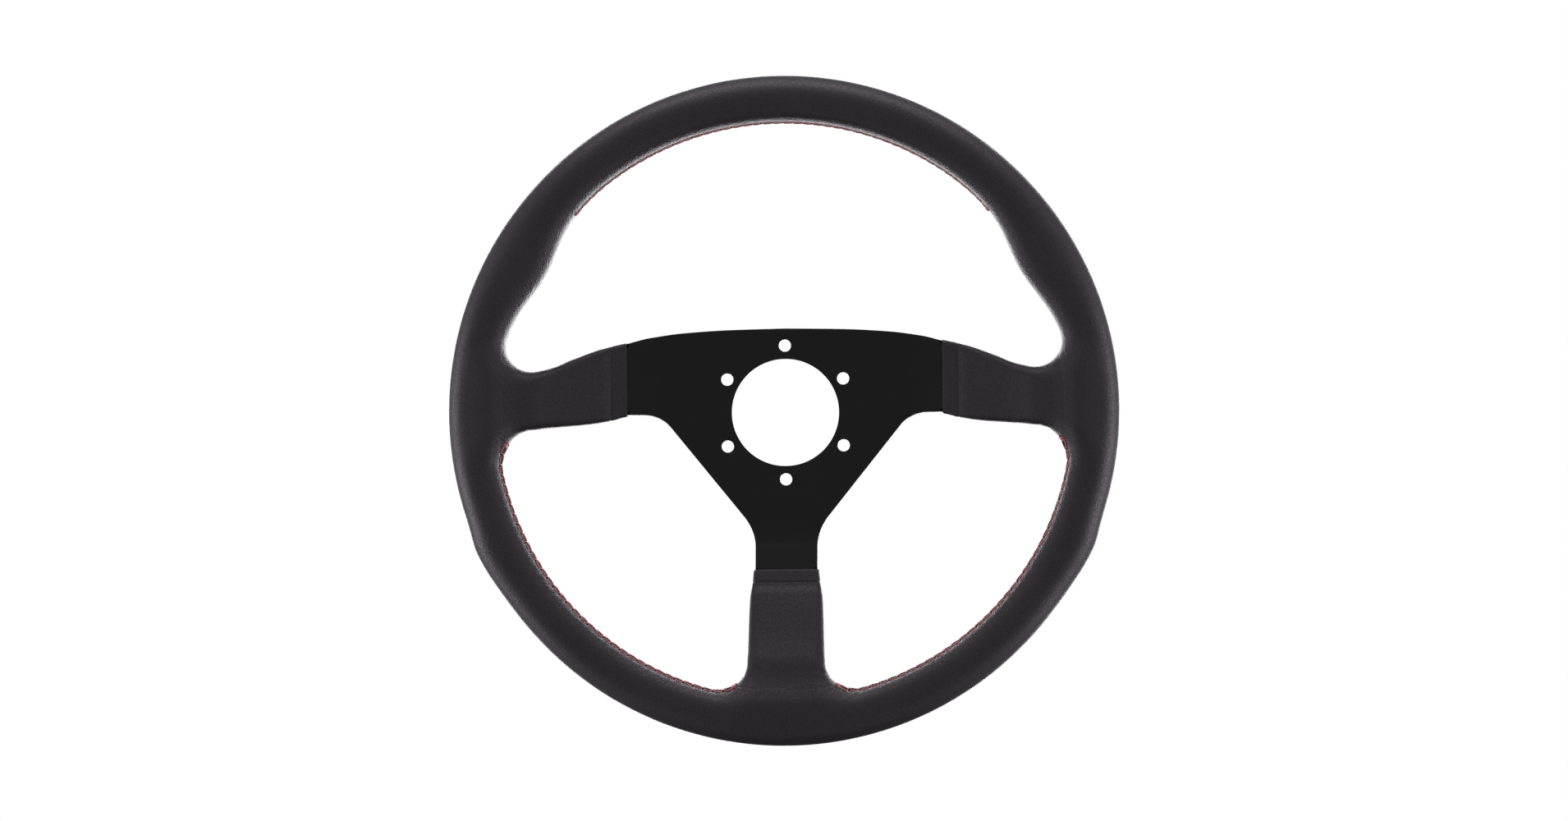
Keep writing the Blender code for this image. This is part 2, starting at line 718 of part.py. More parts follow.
def make_rivets(spoke):
    """Two domed rivets through a spoke's end and its bracket."""
    shank = (PLATE_THICKNESS + GAP + BRACKET_THICKNESS) / 2 + GAP
    head = shank + RIVET_HEAD_HEIGHT
    shoulder = shank + RIVET_HEAD_HEIGHT / 2
    half = [(0, head), (RIVET_CROWN_RADIUS, head - RIVET_DOME), (RIVET_HEAD_RADIUS, shoulder),
            (RIVET_HEAD_RADIUS, shank), (RIVET_RADIUS, shank)]
    profile = half + [(radius, -height) for radius, height in reversed(half)]
    for position, side in zip(rivet_positions(spoke), ("a", "b")):
        mesh = bpy.data.meshes.new("rivet_profile")
        vertices = [(radius, 0, height) for radius, height in profile]
        mesh.from_pydata(vertices, [(index, index + 1) for index in range(len(profile) - 1)], [])
        rivet = bpy.data.objects.new(f"rivet_{spoke.name}_{side}", mesh)
        PARTS.objects.link(rivet)
        rivet.location = position
        rivet.rotation_euler = (math.pi / 2, 0, 0)
        screw = rivet.modifiers.new("turned", "SCREW")
        screw.steps = RIVET_STEPS
        screw.render_steps = RIVET_STEPS
        screw.use_merge_vertices = True
        screw.merge_threshold = 0.01 * MM
        screw.use_smooth_shade = True
        rivet.parent = ROOT
        rivet.data.materials.append(MATERIALS["steel"])


# ---------------------------------------------------------------- build

clear_scene()
PARTS = make_collection("steering_wheel")
CUTTERS = make_collection("cutters")
ROOT = bpy.data.objects.new("steering_wheel_origin", None)
PARTS.objects.link(ROOT)
MATERIALS = {
    "leather": make_material("black_leather", LEATHER_BLACK, 0.5),
    "anodised": make_material("black_anodised_aluminium", BLACK, 0.45, 0.6),
    "steel": make_material("steel", STEEL_GREY, 0.4, 1.0),
    "foam": make_material("moulded_foam", FOAM_GREY, 0.9),
    "thread": make_material("red_thread", THREAD_RED, 0.6),
}
finish(make_ring("rim_ring", RING_RADIUS), MATERIALS["steel"])
make_rim_foam()
make_rim_wrap()
make_rim_threads()
make_plate()
for each_spoke in SPOKES:
    make_bracket(each_spoke)
    make_rivets(each_spoke)
    make_pad(each_spoke)
    make_sleeve(each_spoke)
    make_sleeve_thread(each_spoke)
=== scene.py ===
"""Looks of the dished three-spoke steering wheel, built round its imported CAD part.

The leather, the plate and the stitching are rebuilt finely on the same shape as the CAD nodes they
stand for. The ring, foam, pads, brackets and rivets under the leather stay the CAD nodes themselves.
"""

import math
from collections import namedtuple

import bmesh
import bpy
import numpy as np
from mathutils import Matrix, Vector


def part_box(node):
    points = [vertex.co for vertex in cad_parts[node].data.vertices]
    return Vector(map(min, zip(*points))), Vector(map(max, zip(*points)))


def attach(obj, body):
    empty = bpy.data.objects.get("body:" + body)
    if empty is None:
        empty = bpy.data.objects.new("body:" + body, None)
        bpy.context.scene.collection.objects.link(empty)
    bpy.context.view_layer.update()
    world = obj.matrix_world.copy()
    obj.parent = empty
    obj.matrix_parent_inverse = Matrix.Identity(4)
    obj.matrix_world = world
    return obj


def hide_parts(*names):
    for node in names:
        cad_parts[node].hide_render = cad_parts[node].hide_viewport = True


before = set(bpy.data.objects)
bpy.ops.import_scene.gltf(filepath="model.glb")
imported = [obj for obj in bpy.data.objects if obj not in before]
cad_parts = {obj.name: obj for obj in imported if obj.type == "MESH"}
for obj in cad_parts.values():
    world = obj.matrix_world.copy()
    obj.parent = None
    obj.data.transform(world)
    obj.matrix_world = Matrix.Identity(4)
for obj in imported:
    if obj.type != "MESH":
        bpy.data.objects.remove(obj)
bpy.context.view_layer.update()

MM = 0.001

# Places read from the CAD part
RIM_LOW, RIM_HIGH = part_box("rim_wrap")
WHEEL_RADIUS = RIM_HIGH.z
RIM_PLANE = (RIM_LOW.y + RIM_HIGH.y) / 2

# The grip's section
GRIP_WIDTH = 24.5 * MM
GRIP_DEPTH = 30 * MM
GRIP_SQUARENESS = 2.3
LEATHER = 1.2 * MM
FOAM_INSET = 1.5 * MM
RIM_INNER = WHEEL_RADIUS - GRIP_WIDTH
SECTION_RADIUS = GRIP_WIDTH / 2
JOINT_GAP = 0.008 * MM

# Shape of the grip, as angles above the horizontal on either side of the wheel
THUMB_ANGLE = 30
THUMB_SPREAD = 7.2
THUMB_RISE = 7.2 * MM
PALM_ANGLE = -24.5
PALM_SPREAD_ABOVE = 2.6
PALM_SPREAD_BELOW = 5
PALM_RISE = 1.7 * MM
SPOKE_REACH = (-18, 20)
STEM_REACH = -72

# Distances from the hub's axis along a spoke
PLATE_THICKNESS = 4 * MM
BEND_START = 64 * MM
BEND_END = 134 * MM
BEND_EASE = 5 * MM
CUFF_START = 82.4 * MM
SLEEVE_END = 146.3 * MM
SPOKE_ROOT = 151 * MM
SPOKE_FILLET = 17 * MM
ROOT_PLANE = RIM_PLANE - 2 * MM
BEND_SLOPE = (ROOT_PLANE + PLATE_THICKNESS / 2) / (BEND_END - BEND_START)

# A spoke's outline under its sleeve, in millimetres: distance along it, then distance across it
SIDE_TOP = [(60, 41.4), (82, 36.9), (96, 33.4), (110, 28.2), (122, 23.3), (132, 21.4), (144, 22.6),
            (152, 25), (170, 30)]
SIDE_BOTTOM = [(60, -1.4), (82, -1.7), (91, -3.9), (102, -5.8), (116, -7.2), (126, -8.2), (138, -10),
               (146, -13), (170, -25)]
LOWER_EDGE = [(60, 16.9), (82, 17.0), (89, 17.6), (98, 19.0), (126, 20.0), (138, 20.8), (147, 23.5),
              (170, 31)]
HALF_THICKNESS = [(60, 3.7), (90, 3.7), (95, 4.9), (120, 6.8), (146, 9.4), (170, 10)]
TONGUE_INSET = [(80, 2.4), (91, 2.4), (95, 3.0), (110, 3.9), (132, 4.2), (146, 7.2), (160, 11)]
TONGUE_STATIONS = [82.35, 85, 90, 95, 100, 105, 111, 117, 123, 129, 134, 139, 143, 147, 152, 156.5]
PLATE_TOP = [(0, 44.0), (30, 43.4), (54, 41.95), (72, 39.4), (83, 36.4)]
SIDE_CORNER = (65.3, -0.8, 18)
STEM_CORNER = (16.2, -61.75, 27)
SHOULDER = 82.15 * MM
HUB_BORE_RADIUS = 28 * MM
BOLT_CIRCLE_RADIUS = 35 * MM
BOLT_HOLE_RADIUS = 3.2 * MM
BOLT_COUNT = 6
PLATE_BEVEL = 0.4 * MM

# How finely the surfaces are divided: points round a piece's outside and round its inside
RIM_COLUMNS = (132, 44)
SLEEVE_COLUMNS = (156, 52)
SLEEVE_SAMPLES = 420
LIP_EASE = 0.55
THREAD_SIDES = 10
THREAD_ROWS = 12
BEND_CUTS = 9
BORE_STEPS = 128
BOLT_HOLE_STEPS = 40
CORNER_STEPS = 20
CROWN_STEP = 2
FIELD_STEP = 0.05 * MM

# Small relief on the leather
WRINKLE = 0.07 * MM
BROAD_WAVE = 0.02 * MM
SLEEVE_WRINKLE = 0.10 * MM
SLEEVE_WAVE = 0.03 * MM
JOINT_DIP = 0.04 * MM
JOINT_WIDTH = 0.5 * MM
BUTT_DIP = 0.07 * MM
BUTT_WIDTH = 0.3 * MM
CUFF_ROLL = 0.25 * MM
CUFF_RAISE = 0.1 * MM
HEM_CREASE = 0.2 * MM
HEM_WIDTH = 0.4 * MM
SEAM_DIP = 0.5 * MM
SEAM_SWELL = 0.25 * MM

# Stitching
PITCH = 5.3 * MM
THREAD_RADIUS = 0.42 * MM
LUMP = 0.55 * MM
GROOVE = 0.3 * MM
SLIT_DEPTH = 0.8 * MM
PUCKER = 0.16 * MM
SEAM_RISE = 0.8 * MM
SLEEVE_ROW = 2.2 * MM
SLEEVE_LEAN = 0.34
KNOT_TURNS = 3
KNOT_SPACING = 0.13

Spoke = namedtuple("Spoke", "name along across top bottom hem")
SPOKES = [
    Spoke("right", np.array((1.0, 0, 0)), np.array((0, 0, 1.0)), SIDE_TOP, SIDE_BOTTOM, 91 * MM),
    Spoke("left", np.array((-1.0, 0, 0)), np.array((0, 0, 1.0)), SIDE_TOP, SIDE_BOTTOM, 91 * MM),
    Spoke("lower", np.array((0, 0, -1.0)), np.array((1.0, 0, 0)), LOWER_EDGE,
          [(along, -across) for along, across in LOWER_EDGE], 89.2 * MM),
]
Seam = namedtuple("Seam", "name start end shift row")
SEAMS = [
    Seam("upper", 44.0, 136.0, 0.6 * MM, 2.3 * MM),
    Seam("lower_right", -6.4, -79.4, 3.6 * MM, 3.4 * MM),
    Seam("lower_left", 186.4, 259.4, 3.6 * MM, 3.4 * MM),
]
DEPTH = np.array((0, 1.0, 0))


# ---------------------------------------------------------------- curves and fields

def through(points, position):
    """Smooth curve through points given in millimetres, read at positions in metres."""
    x = np.array([point[0] for point in points]) * MM
    y = np.array([point[1] for point in points]) * MM
    secants = np.diff(y) / np.diff(x)
    product = secants[:-1] * secants[1:]
    total = secants[:-1] + secants[1:]
    slopes = np.empty_like(y)
    slopes[0], slopes[-1] = secants[0], secants[-1]
    slopes[1:-1] = np.where(product > 0, 2 * product / np.where(total == 0, 1, total), 0)
    place = np.clip(position, x[0], x[-1])
    index = np.clip(np.searchsorted(x, place, side="right") - 1, 0, len(x) - 2)
    span = x[index + 1] - x[index]
    t = (place - x[index]) / span
    weight = 2 * t**3 - 3 * t**2 + 1
    value = weight * y[index] + (1 - weight) * y[index + 1]
    value = value + (t**3 - 2 * t**2 + t) * slopes[index] * span
    return value + (t**3 - t**2) * slopes[index + 1] * span


def bell(value, centre, spread):
    return np.exp(-((value - centre) / spread) ** 2 / 2)


def ease(value, start, end):
    """Smooth step from 0 at start to 1 at end."""
    t = np.clip((value - start) / (end - start), 0, 1)
    return t * t * (3 - 2 * t)


def soft_ramp(distance, width):
    rounded = (distance + width) ** 2 / (4 * width)
    return np.where(distance <= -width, 0, np.where(distance >= width, distance, rounded))


def spoke_plane(along):
    ramp = soft_ramp(along - BEND_START, BEND_EASE) - soft_ramp(along - BEND_END, BEND_EASE)
    return BEND_SLOPE * ramp - PLATE_THICKNESS / 2


def spoke_lean(along):
    slope = (spoke_plane(along + MM) - spoke_plane(along - MM)) / (2 * MM)
    return np.cos(np.arctan(slope))


def grip_edges(angle):
    palm_spread = np.where(angle > PALM_ANGLE, PALM_SPREAD_ABOVE, PALM_SPREAD_BELOW)
    outer = WHEEL_RADIUS + PALM_RISE * bell(angle, PALM_ANGLE, palm_spread)
    inner = RIM_INNER - THUMB_RISE * bell(angle, THUMB_ANGLE, THUMB_SPREAD)
    return inner, outer


def rim_distance(p):
    angle = np.degrees(np.arctan2(p[:, 2], np.abs(p[:, 0])))
    inner, outer = grip_edges(angle)
    from_centre = np.hypot(p[:, 0], p[:, 2]) - (inner + outer) / 2
    depth = p[:, 1] - RIM_PLANE
    across = np.abs(from_centre / ((outer - inner) / 2)) ** GRIP_SQUARENESS
    deep = np.abs(depth / (GRIP_DEPTH / 2)) ** GRIP_SQUARENESS
    size = np.maximum((across + deep) ** (1 / GRIP_SQUARENESS), MM)
    return np.hypot(from_centre, depth) * (1 - 1 / size)


def spoke_distance(p, spoke):
    found = np.full(len(p), WHEEL_RADIUS)
    along = p @ spoke.along
    across_all = p @ spoke.across
    near = (along >= BEND_START) & (np.abs(across_all - 7 * MM) < 55 * MM)
    if not near.any():
        return found
    along, q, sideways = along[near], p[near], across_all[near]
    top = through(spoke.top, along)
    bottom = through(spoke.bottom, along)
    half_thickness = through(HALF_THICKNESS, along)
    edge_radius = half_thickness - FOAM_INSET
    across = np.abs(sideways - (top + bottom) / 2) - (top - bottom) / 2 + edge_radius
    deep = np.abs(q[:, 1] - spoke_plane(along)) * spoke_lean(along) - half_thickness + edge_radius
    outside = np.hypot(np.maximum(across, 0), np.maximum(deep, 0))
    slab = outside + np.minimum(np.maximum(across, deep), 0) - edge_radius
    beyond = along - SPOKE_ROOT
    found[near] = np.where(beyond <= 0, slab, np.hypot(np.maximum(slab, 0), beyond))
    return found


def cover_distance(p):
    """Distance from the whole leather surface: the rim and the spokes, joined by fillets."""
    rim = rim_distance(p)
    spoke = np.minimum.reduce([spoke_distance(p, each) for each in SPOKES])
    corner = np.hypot(np.maximum(SPOKE_FILLET - rim, 0), np.maximum(SPOKE_FILLET - spoke, 0))
    return np.maximum(SPOKE_FILLET, np.minimum(rim, spoke)) - corner


def cover_normal(p):
    gradient = np.stack([
        cover_distance(p + FIELD_STEP * axis) - cover_distance(p - FIELD_STEP * axis)
        for axis in np.eye(3)], axis=1)
    return gradient / np.linalg.norm(gradient, axis=1, keepdims=True)


def solve(inside, count, high, steps=18):
    """Largest value for which inside(values) is true, between 0 and high, for each of count cases."""
    low = np.zeros(count)
    high = np.full(count, high)
    for _ in range(steps):
        middle = (low + high) / 2
        good = inside(middle)
        low = np.where(good, middle, low)
        high = np.where(good, high, middle)
    return low


# ---------------------------------------------------------------- small patterns

def waves(u, v, lengths, lean_degrees, spread_degrees, seed, count=18):
    """Irregular ripples from -1 to 1 whose crests lean to one side; u and v are metres."""
    chance = np.random.default_rng(seed)
    total = np.zeros(np.broadcast(u, v).shape)
    for _ in range(count):
        heading = math.radians(lean_degrees + spread_degrees * chance.normal())
        length = chance.uniform(*lengths) * MM
        phase = chance.uniform(0, 2 * math.pi)
        total += np.sin((u * math.cos(heading) + v * math.sin(heading)) * 2 * math.pi / length + phase)
    return total / (0.9 * count**0.5 * 1.6)


# ---------------------------------------------------------------- meshes

def mesh_piece(name, vertices, faces, material, stands_for, uv, shares=None, sharp=60):
    mesh = bpy.data.meshes.new(name)
    mesh.from_pydata(np.asarray(vertices).tolist(), [], faces)
    mesh.validate()
    loops = np.zeros(len(mesh.loops), dtype=np.int64)
    mesh.loops.foreach_get("vertex_index", loops)
    layer = mesh.uv_layers.new(name="hide")
    layer.data.foreach_set("uv", np.asarray(uv, dtype=np.float32)[loops].ravel())
    for share_name, values in (shares or {}).items():
        attribute = mesh.attributes.new(share_name, "FLOAT", "POINT")
        attribute.data.foreach_set("value", np.asarray(values, dtype=np.float32))
    mesh.shade_smooth()
    mesh.set_sharp_from_angle(angle=math.radians(sharp))
    show(name, mesh, material, stands_for)


def show(name, mesh, material, stands_for):
    """Adds a finished mesh as a piece that rides on the wheel in place of CAD nodes."""
    obj = bpy.data.objects.new(name, mesh)
    bpy.context.scene.collection.objects.link(obj)
    obj.data.materials.append(material)
    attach(obj, "root")
    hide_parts(*stands_for)


def loft_faces(rows, columns):
    """Quads of a tube whose rows are closed rings, with a face across each end."""
    faces = []
    for row in range(rows - 1):
        base = row * columns
        following = base + columns
        for column in range(columns):
            after = (column + 1) % columns
            faces.append((base + column, base + after, following + after, following + column))
    faces.append(tuple(reversed(range(columns))))
    last = (rows - 1) * columns
    faces.append(tuple(range(last, last + columns)))
    return faces


def grid_normals(points):
    """Outward normals of a grid of surface points, rows x columns x 3."""
    along = np.gradient(points, axis=0)
    around = np.gradient(points, axis=1)
    normal = np.cross(along, around)
    return normal / np.maximum(np.linalg.norm(normal, axis=2, keepdims=True), 1e-12)


# ---------------------------------------------------------------- the rim's leather

def fold(degrees):
    """Elevation above the horizontal, the same on both sides of the wheel."""
    angle = np.radians(degrees)
    return np.degrees(np.arctan2(np.sin(angle), np.abs(np.cos(angle))))


def rim_points(degrees, turn, inset=0.0, limit=0.0):
    """Points on the rim's cover; turn 0 faces the hub and a positive turn leans to the front."""
    angle = np.radians(degrees)
    outward = np.stack([np.cos(angle), np.zeros_like(angle), np.sin(angle)], axis=1)
    inner, outer = grip_edges(fold(degrees))
    centre = outward * ((inner + outer) / 2)[:, None] + DEPTH * RIM_PLANE
    direction = -outward * np.cos(turn)[:, None] - DEPTH * np.sin(turn)[:, None]

    def inside(distance):
        p = centre + direction * distance[:, None]
        return (cover_distance(p) < -inset) & (np.hypot(p[:, 0], p[:, 2]) > limit)

    return centre + direction * solve(inside, len(angle), GRIP_DEPTH)[:, None]


def sleeve_limit(degrees):
    angle = fold(degrees)
    reached = ((angle > SPOKE_REACH[0]) & (angle < SPOKE_REACH[1])) | (angle < STEM_REACH)
    return np.where(reached, SLEEVE_END + JOINT_GAP, 0.0)


def seam_turn(degrees):
    """Turn at which the leather's two edges meet."""
    angle = fold(degrees)
    upper = ease(angle, 38, 44)
    lower = ease(angle, -4.5, -7.5) * ease(angle, -81, -78)
    lower_shift = SEAMS[1].shift - SEAM_RISE * ease(angle, -40, -22)
    return (SEAMS[0].shift * upper + lower_shift * lower) / SECTION_RADIUS


def over_spoke_turn(degrees, side):
    """Turn past which the rim's leather clears a sleeve, in front (1) or behind (-1)."""
    limit = sleeve_limit(degrees)

    def covered(turn):
        p = rim_points(degrees, side * turn)
        return np.hypot(p[:, 0], p[:, 2]) < limit

    found = solve(covered, len(degrees), math.pi / 2, steps=14)
    return np.where(covered(np.zeros(len(degrees))), found, 0.0)


def seam_relief(degrees, turn):
    """How far the seam's lips, lumps and stitch grooves lift the leather."""
    total = np.zeros(np.broadcast(degrees, turn).shape)
    stitched = np.zeros_like(total)
    turn = (turn + math.pi) % (2 * math.pi) - math.pi
    across = (turn - seam_turn(degrees)) * SECTION_RADIUS
    off = np.abs(across)
    turned = degrees % 360
    for seam in SEAMS:
        low, high = sorted((seam.start % 360, seam.end % 360))
        weight = ease(turned, low - 0.3, low + 0.5) * ease(turned, high + 0.3, high - 0.5)
        phase = (turned - low) / (high - low) * stitch_count(seam)
        lump = np.abs(np.sin(math.pi * phase)) ** 0.55
        strip = LUMP * lump * np.sin(math.pi * np.clip(off / seam.row, 0, 1)) ** 0.7
        groove = -GROOVE * np.exp(-((off - seam.row) / (0.45 * MM)) ** 2)
        pucker = -PUCKER * np.cos(math.pi * phase) ** 6 * np.exp(-np.maximum(off - seam.row, 0) / (2.4 * MM))
        pucker = pucker * ease(off, seam.row - 0.5 * MM, seam.row + 0.5 * MM)
        slit = -SLIT_DEPTH * np.exp(-(off / (0.32 * MM)) ** 2)
        total += weight * (strip + groove + pucker + slit)
        stitched += weight
    plain = -0.1 * MM * np.exp(-(off / (0.3 * MM)) ** 2)
    return total + np.maximum(1 - stitched, 0) * plain


def seam_share(degrees, turn):
    """1 between the two rows of stitches, fading to 0 just outside them; the leather uses it to paint shade
    there.
    """
    turned = degrees % 360
    off = np.abs((turn + math.pi) % (2 * math.pi) - math.pi - seam_turn(degrees)) * SECTION_RADIUS
    share = np.zeros(np.broadcast(degrees, turn).shape)
    for seam in SEAMS:
        low, high = sorted((seam.start % 360, seam.end % 360))
        within = ease(turned, low - 0.3, low + 0.5) * ease(turned, high + 0.3, high - 0.5)
        share += within * ease(off, seam.row + 0.7 * MM, seam.row)
    return share


def stitch_count(seam):
    return round(math.radians(abs(seam.end - seam.start)) * RIM_INNER / PITCH)


def rim_stations():
    """Angles round the rim, finest along the seams and where a sleeve's edge begins."""
    half = [np.arange(-89.996, -79, 0.4), np.arange(-79, -7, 0.26), np.arange(-7, 43.5, 0.4),
            np.arange(43.5, 90, 0.26)]
    scan = np.arange(-90, 20, 0.02)
    p = rim_points(scan, np.zeros(len(scan)))
    covered = np.hypot(p[:, 0], p[:, 2]) < sleeve_limit(scan)
    edges = np.nonzero(np.diff(covered.astype(int)))[0]
    for edge in edges:
        inward = 1 if covered[edge + 1] else -1
        half.append(scan[edge] + inward * 1.2 * (np.arange(1, 13) / 12) ** 2)
        half.append([scan[edge] - inward * 0.05])
    right = np.unique(np.round(np.concatenate(half), 4))
    right = right[np.concatenate([[True], np.diff(right) > 0.004])]
    return np.concatenate([right, [90.0], 180 - right[::-1]])


def lip_spacing(count):
    """Shares from 0 to 1, closer together near both ends."""
    t = np.linspace(0, 1, count)
    return t - LIP_EASE * np.sin(2 * math.pi * t) / (2 * math.pi)


def make_rim_leather(material):
    degrees = rim_stations()
    count, inner_count = RIM_COLUMNS
    lips = seam_turn(degrees)
    slit = 0.12 * MM / SECTION_RADIUS
    front = np.maximum(lips + slit, over_spoke_turn(degrees, 1))
    rear = 2 * math.pi - np.maximum(slit - lips, over_spoke_turn(degrees, -1))
    limit = sleeve_limit(degrees)

    def layer(columns, inset):
        turn = front[:, None] + (rear - front)[:, None] * lip_spacing(columns)[None, :]
        grid_degrees = np.repeat(degrees[:, None], columns, axis=1)
        grid_limit = np.repeat(limit[:, None], columns, axis=1)
        p = rim_points(grid_degrees.ravel(), turn.ravel(), inset, grid_limit.ravel())
        return turn, grid_degrees, p.reshape(len(degrees), columns, 3)

    turn, grid_degrees, outer = layer(count, 0.0)
    normal = grid_normals(outer)
    outward = outer - (WHEEL_RADIUS - GRIP_WIDTH / 2) * np.stack(
        [np.cos(np.radians(grid_degrees)), np.zeros_like(turn), np.sin(np.radians(grid_degrees))], axis=2)
    outward[:, :, 1] -= RIM_PLANE
    normal *= np.sign(np.sum(normal * outward, axis=2, keepdims=True))
    u = np.radians(grid_degrees) * RIM_INNER
    v = turn * SECTION_RADIUS
    facing_hub = np.exp(-(np.abs(((turn + math.pi) % (2 * math.pi)) - math.pi) / 1.05) ** 3)
    angle = fold(grid_degrees)
    thumb = bell(angle, THUMB_ANGLE, 9)
    crotch = bell(angle, 9, 5) + bell(angle, -11, 4) + bell(angle, -76, 4)
    wrinkled = facing_hub * (0.35 + 0.6 * thumb + 0.8 * crotch)
    relief = seam_relief(grid_degrees, turn)
    relief += WRINKLE * wrinkled * waves(u, v, (2.6, 6.5), 62, 16, seed=3)
    relief += BROAD_WAVE * waves(u, v, (9, 30), 30, 60, seed=8)
    radius = np.hypot(outer[:, :, 0], outer[:, :, 2])
    near_joint = np.where(limit[:, None] > 0, np.exp(-((radius - SLEEVE_END) / JOINT_WIDTH) ** 2), 0)
    relief -= JOINT_DIP * near_joint
    from_butt = np.abs((grid_degrees + 90 + 180) % 360 - 180) * math.radians(1) * WHEEL_RADIUS
    relief -= BUTT_DIP * np.exp(-(from_butt / BUTT_WIDTH) ** 2)
    outer = outer + normal * relief[:, :, None]
    _, _, inner = layer(inner_count, LEATHER)
    rings = np.concatenate([outer, inner[:, ::-1]], axis=1)
    columns = count + inner_count
    uv = np.concatenate([np.stack([u, v], axis=2), np.zeros((len(degrees), inner_count, 2))], axis=1)
    hidden = np.zeros((len(degrees), inner_count))
    stretch = np.concatenate([np.clip(facing_hub * 1.1, 0, 1), hidden], axis=1)
    seam = np.concatenate([seam_share(grid_degrees, turn), hidden], axis=1)
    mesh_piece(
        "rim_leather", rings.reshape(-1, 3), loft_faces(len(degrees), columns), material,
        ["rim_wrap"], uv.reshape(-1, 2), {"stretch": stretch.ravel(), "seam": seam.ravel()})


# ---------------------------------------------------------------- the sleeves

def tongue_edges(spoke, along):
    inset = through(TONGUE_INSET, along)
    return through(spoke.top, along) - inset, through(spoke.bottom, along) + inset


def bowed_along(along, across):
    """Distance along a spoke on a surface that bows from a flat cuff into the rim's circle."""
    share = (along - CUFF_START) / (SLEEVE_END - CUFF_START)
    end = np.sqrt((SLEEVE_END - JOINT_GAP) ** 2 - across**2)
    return CUFF_START + share * (end - CUFF_START)


def sleeve_points(spoke, along, turn, inset):
    """Points round a spoke's cover; turn 0 is behind its middle, a quarter turn its top edge."""
    top, bottom = tongue_edges(spoke, along)
    middle = (top + bottom) / 2
    half_width = (top - bottom) / 2
    step = np.stack([half_width * np.sin(turn), 6 * MM * np.cos(turn)], axis=1)
    step /= np.linalg.norm(step, axis=1, keepdims=True)

    def point_at(distance):
        across = middle + distance * step[:, 0]
        bowed = bowed_along(along, across)
        depth = spoke_plane(bowed) + distance * step[:, 1] / spoke_lean(bowed)
        return spoke.along * bowed[:, None] + spoke.across * across[:, None] + DEPTH * depth[:, None]

    reach = solve(lambda distance: cover_distance(point_at(distance)) < -inset, len(along), RIM_INNER / 4)
    return point_at(reach)


def sleeve_layer(spoke, stations, columns, inset):
    """Rings of evenly spaced points round a sleeve, from one lip of its rear seam to the other."""
    dense = SLEEVE_SAMPLES
    slit = 0.15 * MM / (12 * MM)
    turn = np.linspace(slit, 2 * math.pi - slit, dense)
    along = np.repeat(stations[:, None], dense, axis=1)
    turns = np.repeat(turn[None, :], len(stations), axis=0)
    p = sleeve_points(spoke, along.ravel(), turns.ravel(), inset).reshape(len(stations), dense, 3)
    rings = np.empty((len(stations), columns, 3))
    lengths = np.empty((len(stations), columns))
    for index, ring in enumerate(p):
        steps = np.linalg.norm(np.diff(ring, axis=0), axis=1)
        travelled = np.concatenate([[0], np.cumsum(steps)])
        wanted = np.linspace(0, travelled[-1], columns)
        lengths[index] = wanted
        for axis in range(3):
            rings[index, :, axis] = np.interp(wanted, travelled, ring[:, axis])
    return rings, lengths


